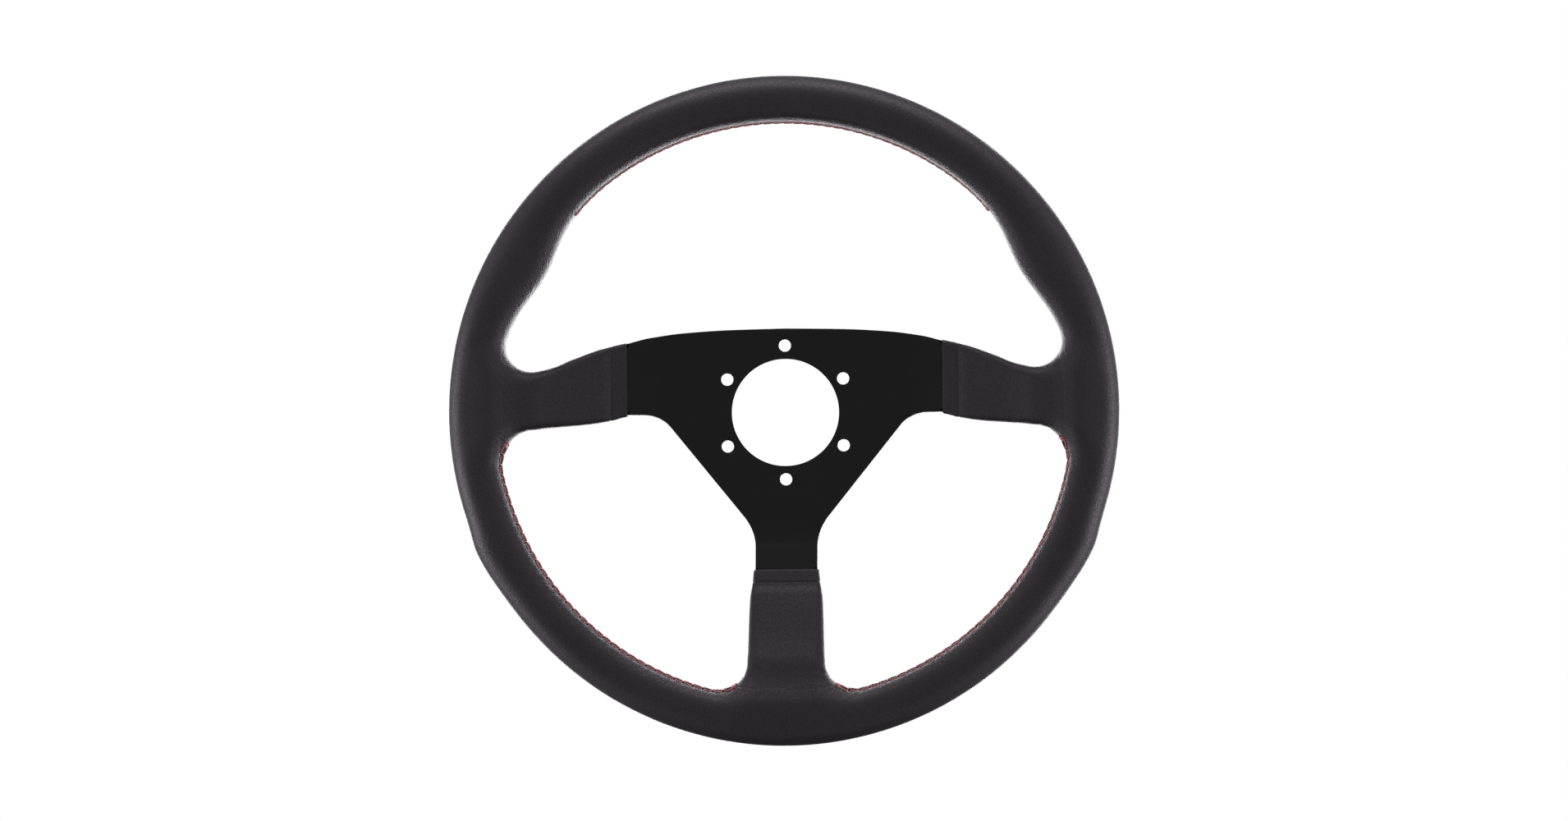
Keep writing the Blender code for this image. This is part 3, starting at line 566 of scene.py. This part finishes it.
def make_sleeve_leather(spoke, material):
    ends = np.array([0, 0.2, 0.5, 0.9])
    stations = np.concatenate([
        CUFF_START / MM + ends, np.arange(CUFF_START / MM + 1.4, spoke.hem / MM - 1.5, 0.7),
        np.arange(spoke.hem / MM - 1.5, spoke.hem / MM + 1.5, 0.25),
        np.arange(spoke.hem / MM + 1.5, SLEEVE_END / MM - 1.3, 0.8),
        SLEEVE_END / MM - ends[::-1]]) * MM
    columns, inner_columns = SLEEVE_COLUMNS
    outer, v = sleeve_layer(spoke, stations, columns, 0.0)
    inner, _ = sleeve_layer(spoke, stations, inner_columns, LEATHER)
    centre = outer.mean(axis=1, keepdims=True)
    normal = grid_normals(outer)
    normal *= np.sign(np.sum(normal * (outer - centre), axis=2, keepdims=True))
    along = np.repeat(stations[:, None], columns, axis=1)
    across = outer @ spoke.across
    into_cuff = along - CUFF_START
    relief = -CUFF_ROLL * np.clip(1 - into_cuff / (0.6 * MM), 0, 1) ** 2
    before_hem = ease(along, spoke.hem + 0.2 * MM, spoke.hem - 1.2 * MM)
    relief += CUFF_RAISE * ease(into_cuff, 0, 1.2 * MM) * before_hem
    relief -= HEM_CREASE * np.exp(-((along - spoke.hem) / HEM_WIDTH) ** 2)
    radius = np.hypot(outer[:, :, 0], outer[:, :, 2])
    relief -= JOINT_DIP * np.exp(-((radius - SLEEVE_END) / JOINT_WIDTH) ** 2)
    total = v[:, -1:]
    from_seam = np.minimum(v, total - v)
    phase = along / PITCH
    relief -= SEAM_DIP * np.exp(-(from_seam / (0.4 * MM)) ** 2)
    beside_seam = np.exp(-((from_seam - 1.3 * MM) / MM) ** 2)
    relief += SEAM_SWELL * np.abs(np.sin(math.pi * phase)) ** 0.6 * beside_seam
    rooted = ease(along, 112 * MM, 140 * MM)
    edges = np.exp(-(np.minimum(np.abs(v - total / 4), np.abs(v - 3 * total / 4)) / (9 * MM)) ** 2)
    wrinkled = (0.25 + rooted * 0.7) * (0.3 + edges)
    relief += SLEEVE_WRINKLE * wrinkled * waves(along, v, (3, 9), 35, 22, seed=21)
    relief += SLEEVE_WAVE * waves(along, across, (8, 25), 60, 60, seed=5)
    outer = outer + normal * relief[:, :, None]
    rings = np.concatenate([outer, inner[:, ::-1]], axis=1)
    uv = np.concatenate([np.stack([along, v], axis=2), np.zeros((len(stations), inner_columns, 2))], axis=1)
    hem = ease(along, spoke.hem + 0.5 * MM, spoke.hem - 0.5 * MM)
    stretch = np.clip(edges * (0.2 + 0.5 * rooted) + 0.25 * hem, 0, 1)
    stretch = np.concatenate([stretch, np.zeros((len(stations), inner_columns))], axis=1)
    mesh_piece(
        "sleeve_leather_" + spoke.name, rings.reshape(-1, 3),
        loft_faces(len(stations), columns + inner_columns), material,
        ["sleeve_" + spoke.name], uv.reshape(-1, 2), {"stretch": stretch.ravel()})


# ---------------------------------------------------------------- the stitching

def thread_mesh(name, paths, normals, radii, material, stands_for):
    """Tubes along many paths of equal point count, tapered into the leather at both ends."""
    paths = np.asarray(paths)
    normals = np.asarray(normals)
    tangent = np.gradient(paths, axis=1)
    tangent /= np.maximum(np.linalg.norm(tangent, axis=2, keepdims=True), 1e-12)
    side = np.cross(tangent, normals)
    side /= np.maximum(np.linalg.norm(side, axis=2, keepdims=True), 1e-12)
    up = np.cross(side, tangent)
    sides = THREAD_SIDES
    turn = np.arange(sides) / sides * 2 * math.pi
    ring = (up[:, :, None, :] * np.cos(turn)[None, None, :, None]
            + side[:, :, None, :] * np.sin(turn)[None, None, :, None])
    points = paths[:, :, None, :] + ring * np.asarray(radii)[:, :, None, None]
    steps = np.linalg.norm(np.diff(paths, axis=1), axis=2)
    length = np.concatenate([np.zeros((len(paths), 1)), np.cumsum(steps, axis=1)], axis=1)
    u = np.repeat(length[:, :, None], sides, axis=2)
    v = np.broadcast_to(np.arange(sides) / sides, u.shape)
    rows = paths.shape[1]
    single = loft_faces(rows, sides)
    faces = []
    for index in range(len(paths)):
        base = index * rows * sides
        faces.extend(tuple(base + corner for corner in face) for face in single)
    mesh_piece(
        name, points.reshape(-1, 3), faces, material, stands_for,
        np.stack([u, v], axis=3).reshape(-1, 2))


def rim_thread_path(seam, phase, across, lift):
    """Points over the displaced leather: phase counts stitches along the seam."""
    low, high = sorted((seam.start % 360, seam.end % 360))
    degrees = low + phase / stitch_count(seam) * (high - low)
    turn = seam_turn(degrees) + across / SECTION_RADIUS
    p = rim_points(degrees, turn)
    normal = cover_normal(p)
    return p + normal * (seam_relief(degrees, turn) + lift)[:, None], normal


def make_rim_stitches(seam, material):
    """Dashes along both rows, lacing across the seam between them, and a knot at each end."""
    rows = THREAD_ROWS
    q = np.linspace(0, 1, rows)
    arch = np.sin(math.pi * q) ** 0.45
    count = stitch_count(seam)
    chance = np.random.default_rng(11)
    all_phase, all_across, all_lift, all_radius = [], [], [], []
    for index in range(count):
        wobble = chance.normal(size=6)
        for side in (1, -1):
            start = index + 0.09 + 0.012 * wobble[0]
            end = index + 0.93 + 0.012 * wobble[1]
            slant = 0.34 * MM * side * (1 + 0.15 * wobble[2])
            curl = 0.12 * MM * np.sin(2 * math.pi * q)
            all_phase.append(start + (end - start) * q)
            all_across.append(side * seam.row + slant * (q - 0.5) * 2 + curl)
            hidden = 0.0 if side > 0 else 0.15 * MM
            all_lift.append((0.62 * arch - 0.30) * MM * (1 + 0.06 * wobble[3]) - hidden)
            all_radius.append(THREAD_RADIUS * (0.55 + 0.45 * arch))
    for index in range(count + 1):
        wobble = chance.normal(size=2)
        lean = 0.16 + 0.02 * wobble[0]
        all_phase.append(index + lean * (q - 0.5) * 2)
        all_across.append(seam.row * 1.02 * (1 - 2 * q))
        all_lift.append((0.36 * arch - 0.22) * MM)
        all_radius.append(THREAD_RADIUS * 0.62 * (0.6 + 0.4 * arch))
    for end in (0, count):
        for turn in range(KNOT_TURNS):
            offset = (turn - KNOT_TURNS // 2) * KNOT_SPACING
            all_phase.append(np.full(rows, end + offset) + 0.05 * (q - 0.5) * (-1) ** turn)
            all_across.append((seam.row + 1.0 * MM) * (1 - q) + (seam.row - 1.5 * MM) * q)
            all_lift.append((0.85 * arch - 0.25) * MM)
            all_radius.append(THREAD_RADIUS * (0.6 + 0.4 * arch))
    phase = np.concatenate(all_phase)
    across = np.concatenate(all_across)
    points, normals = rim_thread_path(seam, phase, across, np.concatenate(all_lift))
    thread_mesh(
        "rim_stitches_" + seam.name, points.reshape(-1, rows, 3), normals.reshape(-1, rows, 3),
        np.asarray(all_radius), material, ["rim_thread_" + seam.name])


def make_sleeve_stitches(spoke, material):
    """Lacing over the seam behind a sleeve."""
    rows = THREAD_ROWS
    q = np.linspace(0, 1, rows)
    arch = np.sin(math.pi * q) ** 0.45
    first = math.ceil((CUFF_START + 2 * MM) / PITCH)
    last = math.floor((SLEEVE_END - 1.5 * MM) / PITCH)
    paths, normals, radii = [], [], []
    for index in range(first, last + 1):
        for lean in (SLEEVE_LEAN, -SLEEVE_LEAN):
            along = (index + 0.5 + lean * (q - 0.5) * 2) * PITCH
            across = SLEEVE_ROW * (1 - 2 * q)
            turn = across / (12 * MM)
            p = sleeve_points(spoke, np.clip(along, CUFF_START, SLEEVE_END), turn % (2 * math.pi), 0.0)
            normal = cover_normal(p)
            lift = (0.7 * arch - 0.3 + (0.25 if lean > 0 else 0) * arch) * MM
            paths.append(p + normal * lift[:, None])
            normals.append(normal)
            radii.append(THREAD_RADIUS * (0.6 + 0.4 * arch))
    thread_mesh(
        "sleeve_stitches_" + spoke.name, paths, normals, radii, material, ["sleeve_thread_" + spoke.name])


# ---------------------------------------------------------------- the plate

def arc_corner(before, corner, after, radius):
    into = (before - corner).normalized()
    out = (after - corner).normalized()
    half_angle = into.angle(out) / 2
    centre = corner + (into + out).normalized() * radius / math.sin(half_angle)
    reach = radius / math.tan(half_angle)
    first = (corner + into * reach - centre).normalized()
    last = (corner + out * reach - centre).normalized()
    shares = [step / CORNER_STEPS for step in range(CORNER_STEPS + 1)]
    return [centre + first.slerp(last, share) * radius for share in shares]


def plate_outline():
    """Outline of the right half, from the top of the hub to the foot of the lower spoke."""
    side, _, lower = SPOKES
    tongue = np.array(TONGUE_STATIONS) * MM
    side_top, side_bottom = tongue_edges(side, tongue)
    lower_top, _ = tongue_edges(lower, tongue)
    crown = np.append(np.arange(0, SHOULDER / MM - 1, CROWN_STEP) * MM, SHOULDER)
    outline = [Vector((x, z, 0)) for x, z in zip(crown, through(PLATE_TOP, crown))]
    outline += [Vector((x, z, 0)) for x, z in zip(tongue, side_top)]
    outline += [Vector((x, z, 0)) for x, z in zip(tongue[::-1], side_bottom[::-1])]
    side_corner = Vector((SIDE_CORNER[0] * MM, SIDE_CORNER[1] * MM, 0))
    stem_corner = Vector((STEM_CORNER[0] * MM, STEM_CORNER[1] * MM, 0))
    shoulder = Vector((SHOULDER, SIDE_CORNER[1] * MM, 0))
    foot = Vector((stem_corner.x, -SHOULDER, 0))
    outline.append(shoulder)
    outline += arc_corner(shoulder, side_corner, stem_corner, SIDE_CORNER[2] * MM)
    outline += arc_corner(side_corner, stem_corner, foot, STEM_CORNER[2] * MM)
    outline.append(foot)
    outline += [Vector((across, -along, 0)) for along, across in zip(tongue, lower_top)]
    return outline


def add_loop(curve, points):
    spline = curve.splines.new("POLY")
    spline.points.add(len(points) - 1)
    for target, point in zip(spline.points, points):
        target.co = (point.x, point.y, 0, 1)
    spline.use_cyclic_u = True


def circle_points(centre, radius, steps):
    turns = [2 * math.pi * step / steps for step in range(steps)]
    return [Vector((centre[0] + radius * math.cos(a), centre[1] + radius * math.sin(a), 0)) for a in turns]


def make_plate(material):
    """One flat plate with small bevels, bent forward along each spoke and back again at the rim."""
    right = plate_outline()
    left = [Vector((-point.x, point.y, 0)) for point in reversed(right[1:])]
    curve = bpy.data.curves.new("plate_outline", "CURVE")
    curve.dimensions = "2D"
    curve.fill_mode = "BOTH"
    curve.extrude = PLATE_THICKNESS / 2 - PLATE_BEVEL
    curve.bevel_depth = PLATE_BEVEL
    curve.bevel_resolution = 2
    curve.offset = -PLATE_BEVEL
    add_loop(curve, right + left)
    add_loop(curve, circle_points((0, 0), HUB_BORE_RADIUS, BORE_STEPS))
    for index in range(BOLT_COUNT):
        angle = math.radians(90 + index * 360 / BOLT_COUNT)
        centre = (BOLT_CIRCLE_RADIUS * math.cos(angle), BOLT_CIRCLE_RADIUS * math.sin(angle))
        add_loop(curve, circle_points(centre, BOLT_HOLE_RADIUS, BOLT_HOLE_STEPS))
    source = bpy.data.objects.new("plate_outline", curve)
    bpy.context.scene.collection.objects.link(source)
    bpy.context.view_layer.update()
    evaluated = source.evaluated_get(bpy.context.evaluated_depsgraph_get())
    flat = bpy.data.meshes.new_from_object(evaluated)
    bpy.data.objects.remove(source)
    bm = bmesh.new()
    bm.from_mesh(flat)
    bmesh.ops.remove_doubles(bm, verts=bm.verts, dist=0.005 * MM)
    for spoke in SPOKES:
        direction = Vector((spoke.along[0], spoke.along[2], 0))
        for bend in (BEND_START, BEND_END):
            for shift in np.linspace(-BEND_EASE, BEND_EASE, BEND_CUTS):
                bmesh.ops.bisect_plane(
                    bm, geom=bm.verts[:] + bm.edges[:] + bm.faces[:], dist=0.001 * MM,
                    plane_co=direction * float(bend + shift), plane_no=direction)
    flat_points = np.array([vertex.co for vertex in bm.verts])
    bent = bend_points(flat_points)
    for vertex, target in zip(bm.verts, bent):
        vertex.co = target
    bmesh.ops.recalc_face_normals(bm, faces=bm.faces)
    mesh = bpy.data.meshes.new("hub_plate")
    bm.to_mesh(mesh)
    bm.free()
    mesh.shade_smooth()
    mesh.set_sharp_from_angle(angle=math.radians(50))
    show("hub_plate", mesh, material, ["spoke_plate"])


def bend_points(flat):
    """Moves flat plate points (x, z, depth) on to the bent plate."""
    across = np.stack([flat[:, 0], np.zeros(len(flat)), flat[:, 1]], axis=1)
    reach = np.stack([across @ spoke.along for spoke in SPOKES], axis=1)
    chosen = reach.argmax(axis=1)
    along = reach.max(axis=1)
    slope = (spoke_plane(along + MM) - spoke_plane(along - MM)) / (2 * MM)
    heading = np.array([spoke.along for spoke in SPOKES])[chosen]
    normal = DEPTH - heading * slope[:, None]
    normal /= np.linalg.norm(normal, axis=1, keepdims=True)
    return across + DEPTH * spoke_plane(along)[:, None] + normal * flat[:, 2:3]


# ---------------------------------------------------------------- materials

class Tree:
    """A short way to add and join a material's nodes."""

    def __init__(self, name):
        self.material = bpy.data.materials.new(name)
        self.material.use_nodes = True
        self.nodes = self.material.node_tree.nodes
        self.links = self.material.node_tree.links
        self.shader = self.nodes["Principled BSDF"]

    def add(self, kind, settings=None, **inputs):
        node = self.nodes.new(kind)
        for key, value in (settings or {}).items():
            setattr(node, key, value)
        for key, value in inputs.items():
            numbered = key[1:].isdigit()
            self.set(node.inputs[int(key[1:]) if numbered else key.replace("_", " ")], value)
        return node

    def set(self, socket, value):
        if isinstance(value, bpy.types.NodeSocket):
            self.links.new(value, socket)
        else:
            socket.default_value = value

    def math(self, operation, a, b=0.0, c=0.0):
        return self.add("ShaderNodeMath", {"operation": operation}, i0=a, i1=b, i2=c).outputs[0]

    def span(self, value, from_low, from_high, to_low, to_high):
        node = self.add("ShaderNodeMapRange", {"interpolation_type": "SMOOTHSTEP"})
        for index, item in enumerate((value, from_low, from_high, to_low, to_high)):
            self.set(node.inputs[index], item)
        return node.outputs[0]

    def mix(self, factor, a, b):
        node = self.add("ShaderNodeMix", {"data_type": "RGBA"})
        for name, item in (("Factor_Float", factor), ("A_Color", a), ("B_Color", b)):
            socket = next(each for each in node.inputs if each.identifier == name)
            self.set(socket, item)
        return next(each for each in node.outputs if each.identifier == "Result_Color")

    def noise(self, vector, scale, detail=2.0):
        return self.add("ShaderNodeTexNoise", Vector=vector, Scale=scale, Detail=detail).outputs["Fac"]

    def place(self, coordinate, scale, turn=0.0):
        turned = self.add("ShaderNodeMapping", Vector=coordinate, Rotation=(0, 0, turn)).outputs["Vector"]
        return self.add("ShaderNodeMapping", Vector=turned, Scale=scale).outputs["Vector"]


def leather_material():
    tree = Tree("leather_grain")
    coordinates = tree.add("ShaderNodeTexCoord")
    around = coordinates.outputs["Object"]
    hide = coordinates.outputs["UV"]
    stretch = tree.add("ShaderNodeAttribute", {"attribute_name": "stretch"}).outputs["Fac"]
    warp = tree.add("ShaderNodeTexNoise", Vector=around, Scale=330.0, Detail=2.0).outputs["Color"]
    shifted = tree.add("ShaderNodeVectorMath", {"operation": "MULTIPLY_ADD"})
    tree.set(shifted.inputs[0], warp)
    tree.set(shifted.inputs[1], (0.0011, 0.0011, 0.0011))
    tree.set(shifted.inputs[2], around)
    cells = tree.add("ShaderNodeTexVoronoi", {"feature": "SMOOTH_F1"}, Vector=shifted.outputs[0],
                     Scale=1050.0, Smoothness=0.7)
    pebbles = tree.span(cells.outputs["Distance"], 0.1, 0.7, 0.34, 0.0)
    rising = tree.noise(tree.place(hide, (300.0, 1150.0, 1.0), math.radians(52)), 1.0, 2.0)
    falling = tree.noise(tree.place(hide, (420.0, 1300.0, 1.0), math.radians(-44)), 1.0, 2.0)
    lines = tree.math("MULTIPLY_ADD", rising, 3.4, tree.math("MULTIPLY", falling, 2.0))
    fine = tree.noise(around, 3800.0, 4.0)
    broad = tree.noise(around, 90.0, 3.0)
    patches = tree.noise(around, 22.0, 2.0)
    relaxed = tree.math("SUBTRACT", 1.0, stretch)
    grain = tree.math("ADD", tree.math("MULTIPLY", pebbles, relaxed),
                      tree.math("MULTIPLY", lines, stretch))
    height = tree.math("ADD", grain, tree.math("MULTIPLY", fine, 0.22))
    height = tree.math("ADD", height, tree.math("MULTIPLY", broad, 0.2))
    bump = tree.add("ShaderNodeBump", Strength=1.0, Distance=0.00016, Height=height)
    worn = tree.span(patches, 0.35, 0.7, 0.0, 1.0)
    deep = tree.math("MULTIPLY", tree.span(pebbles, 0.0, 0.25, 1.0, 0.0), relaxed)
    seam = tree.add("ShaderNodeAttribute", {"attribute_name": "seam"}).outputs["Fac"]
    colour = tree.mix(worn, (0.0255, 0.0218, 0.0270, 1), (0.0308, 0.0263, 0.0326, 1))
    # painted shade: the hollows between the grain's pebbles are darkened in colour
    colour = tree.mix(tree.math("MULTIPLY", deep, 0.4), colour, (0.012, 0.010, 0.012, 1))
    # painted shade: the leather between the two rows of stitches is darkened
    colour = tree.mix(tree.math("MULTIPLY", seam, 0.6), colour, (0.010, 0.005, 0.006, 1))
    rough = tree.math("ADD", tree.span(fine, 0.3, 0.7, 0.43, 0.53), tree.math("MULTIPLY", deep, 0.14))
    rough = tree.math("SUBTRACT", rough, tree.math("MULTIPLY", worn, 0.04))
    rough = tree.math("ADD", rough, tree.math("MULTIPLY", seam, 0.45))
    tree.set(tree.shader.inputs["Base Color"], colour)
    tree.set(tree.shader.inputs["Roughness"], rough)
    tree.set(tree.shader.inputs["Normal"], bump.outputs["Normal"])
    tree.shader.inputs["Specular IOR Level"].default_value = 0.5
    tree.shader.inputs["Specular Tint"].default_value = (1.0, 0.9, 1.0, 1)
    return tree.material


def plate_material():
    tree = Tree("anodised_brushed_plate")
    around = tree.add("ShaderNodeTexCoord").outputs["Object"]
    brushed = tree.noise(tree.place(around, scale=(22.0, 400.0, 2600.0)), 1.0, 3.0)
    long_streaks = tree.noise(tree.place(around, scale=(6.0, 60.0, 420.0)), 1.0, 3.0)
    smudges = tree.noise(around, 35.0, 3.0)
    speckle = tree.noise(around, 5200.0, 2.0)
    shade = tree.span(long_streaks, 0.35, 0.68, 0.0, 1.0)
    colour = tree.mix(shade, (0.0040, 0.0033, 0.0034, 1), (0.0056, 0.0046, 0.0047, 1))
    rough = tree.math("ADD", tree.span(brushed, 0.3, 0.7, 0.36, 0.46), tree.math("MULTIPLY", smudges, 0.08))
    height = tree.math("ADD", brushed, tree.math("MULTIPLY", speckle, 0.4))
    bump = tree.add("ShaderNodeBump", Strength=0.35, Distance=0.00002, Height=height)
    tree.set(tree.shader.inputs["Base Color"], colour)
    tree.set(tree.shader.inputs["Roughness"], rough)
    tree.set(tree.shader.inputs["Normal"], bump.outputs["Normal"])
    tree.shader.inputs["Specular IOR Level"].default_value = 0.35
    return tree.material


def thread_material():
    tree = Tree("twisted_red_thread")
    coordinates = tree.add("ShaderNodeTexCoord")
    along = tree.add("ShaderNodeSeparateXYZ", Vector=coordinates.outputs["UV"])
    ply = tree.math("ADD", tree.math("MULTIPLY", along.outputs["X"], 6900.0),
                    tree.math("MULTIPLY", along.outputs["Y"], 4 * math.pi))
    twist = tree.math("MULTIPLY_ADD", tree.math("SINE", ply), 0.5, 0.5)
    fuzz = tree.noise(coordinates.outputs["Object"], 6500.0, 3.0)
    height = tree.math("ADD", twist, tree.math("MULTIPLY", fuzz, 0.5))
    bump = tree.add("ShaderNodeBump", Strength=0.6, Distance=0.00008, Height=height)
    # the thread's own dark red, with a painted highlight: the crests of the plies are mixed towards pale
    # pink
    colour = tree.mix(twist, (0.46, 0.035, 0.05, 1), (0.93, 0.34, 0.38, 1))
    tree.set(tree.shader.inputs["Base Color"], colour)
    tree.set(tree.shader.inputs["Roughness"], tree.span(fuzz, 0.3, 0.7, 0.42, 0.62))
    tree.set(tree.shader.inputs["Normal"], bump.outputs["Normal"])
    tree.shader.inputs["Sheen Weight"].default_value = 0.6
    tree.shader.inputs["Sheen Roughness"].default_value = 0.4
    return tree.material


def plain_material(name, dark, light, roughness, metallic, scale, depth):
    """Foam, steel and the floor: a mottled colour with a fine uneven surface."""
    tree = Tree(name)
    around = tree.add("ShaderNodeTexCoord").outputs["Object"]
    mottle = tree.noise(around, scale / 12, 3.0)
    fine = tree.noise(around, scale, 4.0)
    tree.set(tree.shader.inputs["Base Color"], tree.mix(mottle, (*dark, 1), (*light, 1)))
    tree.set(tree.shader.inputs["Roughness"], tree.span(fine, 0.3, 0.7, roughness - 0.06, roughness + 0.06))
    bump = tree.add("ShaderNodeBump", Strength=0.4, Distance=depth, Height=fine)
    tree.set(tree.shader.inputs["Normal"], bump.outputs["Normal"])
    tree.shader.inputs["Metallic"].default_value = metallic
    return tree.material


# ---------------------------------------------------------------- studio

CAMERA_DISTANCE = 8.0
CAMERA_RIGHT = 2.1
CAMERA_BELOW = 2.8
CAMERA_ROLL = -0.53
FRAME_WIDTH = 0.8180
FLOOR_DROP = 0.95
FLOOR_GLOW = 0.42
FRONT_FILL = 0.36
BACK_FILL = 0.3
SIDE_LIFT = 1.1

# Each light's name, place, size and power in watts; all of them face the middle of the rim
SOFTBOXES = [
    ("backdrop_glow", Vector((0.0, 0.42, 0.05)), (0.62, 0.56), 6.0),
    ("top_softbox", Vector((0.0, -0.15, 1.5)), (1.8, 0.8), 14.0),
    ("left_softbox", Vector((-1.35, 0.1, -0.25)), (0.8, 1.2), 12.0),
    ("right_softbox", Vector((1.35, 0.1, -0.25)), (0.8, 1.2), 12.0),
]


def make_camera():
    data = bpy.data.cameras.new("camera")
    data.sensor_width = 36
    data.lens = data.sensor_width * CAMERA_DISTANCE / FRAME_WIDTH
    data.clip_start = 0.1
    data.clip_end = 60
    camera = bpy.data.objects.new("camera", data)
    bpy.context.scene.collection.objects.link(camera)
    right = math.radians(CAMERA_RIGHT)
    below = math.radians(CAMERA_BELOW)
    away = Vector((math.sin(right) * math.cos(below), -math.cos(right) * math.cos(below), -math.sin(below)))
    camera.location = Vector((0, RIM_PLANE, 0)) + away * CAMERA_DISTANCE
    facing = (-away).to_track_quat("-Z", "Y").to_matrix()
    camera.rotation_euler = (facing @ Matrix.Rotation(math.radians(CAMERA_ROLL), 3, "Z")).to_euler()
    bpy.context.scene.camera = camera


def make_world():
    """Even and dim in front of the wheel, brighter behind, above and beside it, dark behind and below."""
    world = bpy.data.worlds.new("studio")
    bpy.context.scene.world = world
    world.use_nodes = True
    nodes, links = world.node_tree.nodes, world.node_tree.links
    background = nodes["Background"]
    background.inputs["Color"].default_value = (1, 1, 1, 1)
    direction = nodes.new("ShaderNodeTexCoord")
    parts = nodes.new("ShaderNodeSeparateXYZ")
    links.new(direction.outputs["Generated"], parts.inputs[0])

    def span(value, low, high, start, end):
        node = nodes.new("ShaderNodeMapRange")
        node.interpolation_type = "SMOOTHSTEP"
        for index, item in enumerate((value, low, high, start, end)):
            feed(node.inputs[index], item)
        return node.outputs[0]

    def calculate(operation, *items):
        node = nodes.new("ShaderNodeMath")
        node.operation = operation
        for socket, item in zip(node.inputs, items):
            feed(socket, item)
        return node.outputs[0]

    def feed(socket, item):
        if isinstance(item, bpy.types.NodeSocket):
            links.new(item, socket)
        else:
            socket.default_value = item

    sideways = calculate("ABSOLUTE", parts.outputs["X"])
    risen = calculate("MULTIPLY_ADD", sideways, SIDE_LIFT, parts.outputs["Z"])
    rear = span(risen, -0.35, 0.1, 0.01, BACK_FILL)
    strength = span(parts.outputs["Y"], -0.3, 0.4, FRONT_FILL, rear)
    seen = nodes.new("ShaderNodeLightPath").outputs["Is Camera Ray"]
    links.new(calculate("MAXIMUM", seen, strength), background.inputs["Strength"])


def make_floor():
    """Pale floor far below, which neither lights the wheel nor shows in its gloss."""
    bpy.ops.mesh.primitive_plane_add(size=40, location=(0, 0, RIM_LOW.z - FLOOR_DROP))
    floor = bpy.context.object
    floor.name = "studio_floor"
    material = plain_material("pale_floor", (0.74, 0.74, 0.74), (0.8, 0.8, 0.8), 0.6, 0.0, 30.0, 0.0005)
    shader = material.node_tree.nodes["Principled BSDF"]
    shader.inputs["Emission Color"].default_value = (1, 1, 1, 1)
    shader.inputs["Emission Strength"].default_value = FLOOR_GLOW
    floor.data.materials.append(material)
    floor.visible_diffuse = False
    floor.visible_glossy = False


def make_light(name, location, size, energy):
    data = bpy.data.lights.new(name, "AREA")
    data.shape = "RECTANGLE"
    data.size, data.size_y = size
    data.energy = energy
    light = bpy.data.objects.new(name, data)
    light.location = location
    light.rotation_euler = (Vector((0, RIM_PLANE, 0)) - light.location).to_track_quat("-Z", "Y").to_euler()
    light.visible_camera = False
    bpy.context.scene.collection.objects.link(light)


# ---------------------------------------------------------------- build

LEATHER_GRAIN = leather_material()
THREAD = thread_material()
FOAM = plain_material("moulded_foam", (0.045, 0.045, 0.05), (0.075, 0.075, 0.08), 0.9, 0.0, 1800.0, 0.0003)
STEEL = plain_material("brushed_steel", (0.32, 0.32, 0.33), (0.45, 0.45, 0.46), 0.4, 1.0, 2500.0, 0.00003)
for node_name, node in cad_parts.items():
    node.data.materials.clear()
    hidden_steel = node_name.startswith(("rim_ring", "ring_bracket", "rivet"))
    node.data.materials.append(STEEL if hidden_steel else FOAM)

make_rim_leather(LEATHER_GRAIN)
for each_spoke in SPOKES:
    make_sleeve_leather(each_spoke, LEATHER_GRAIN)
    make_sleeve_stitches(each_spoke, THREAD)
for each_seam in SEAMS:
    make_rim_stitches(each_seam, THREAD)
make_plate(plate_material())
make_floor()
make_world()
make_camera()
for light in SOFTBOXES:
    make_light(*light)
bpy.context.scene.view_settings.view_transform = "Standard"
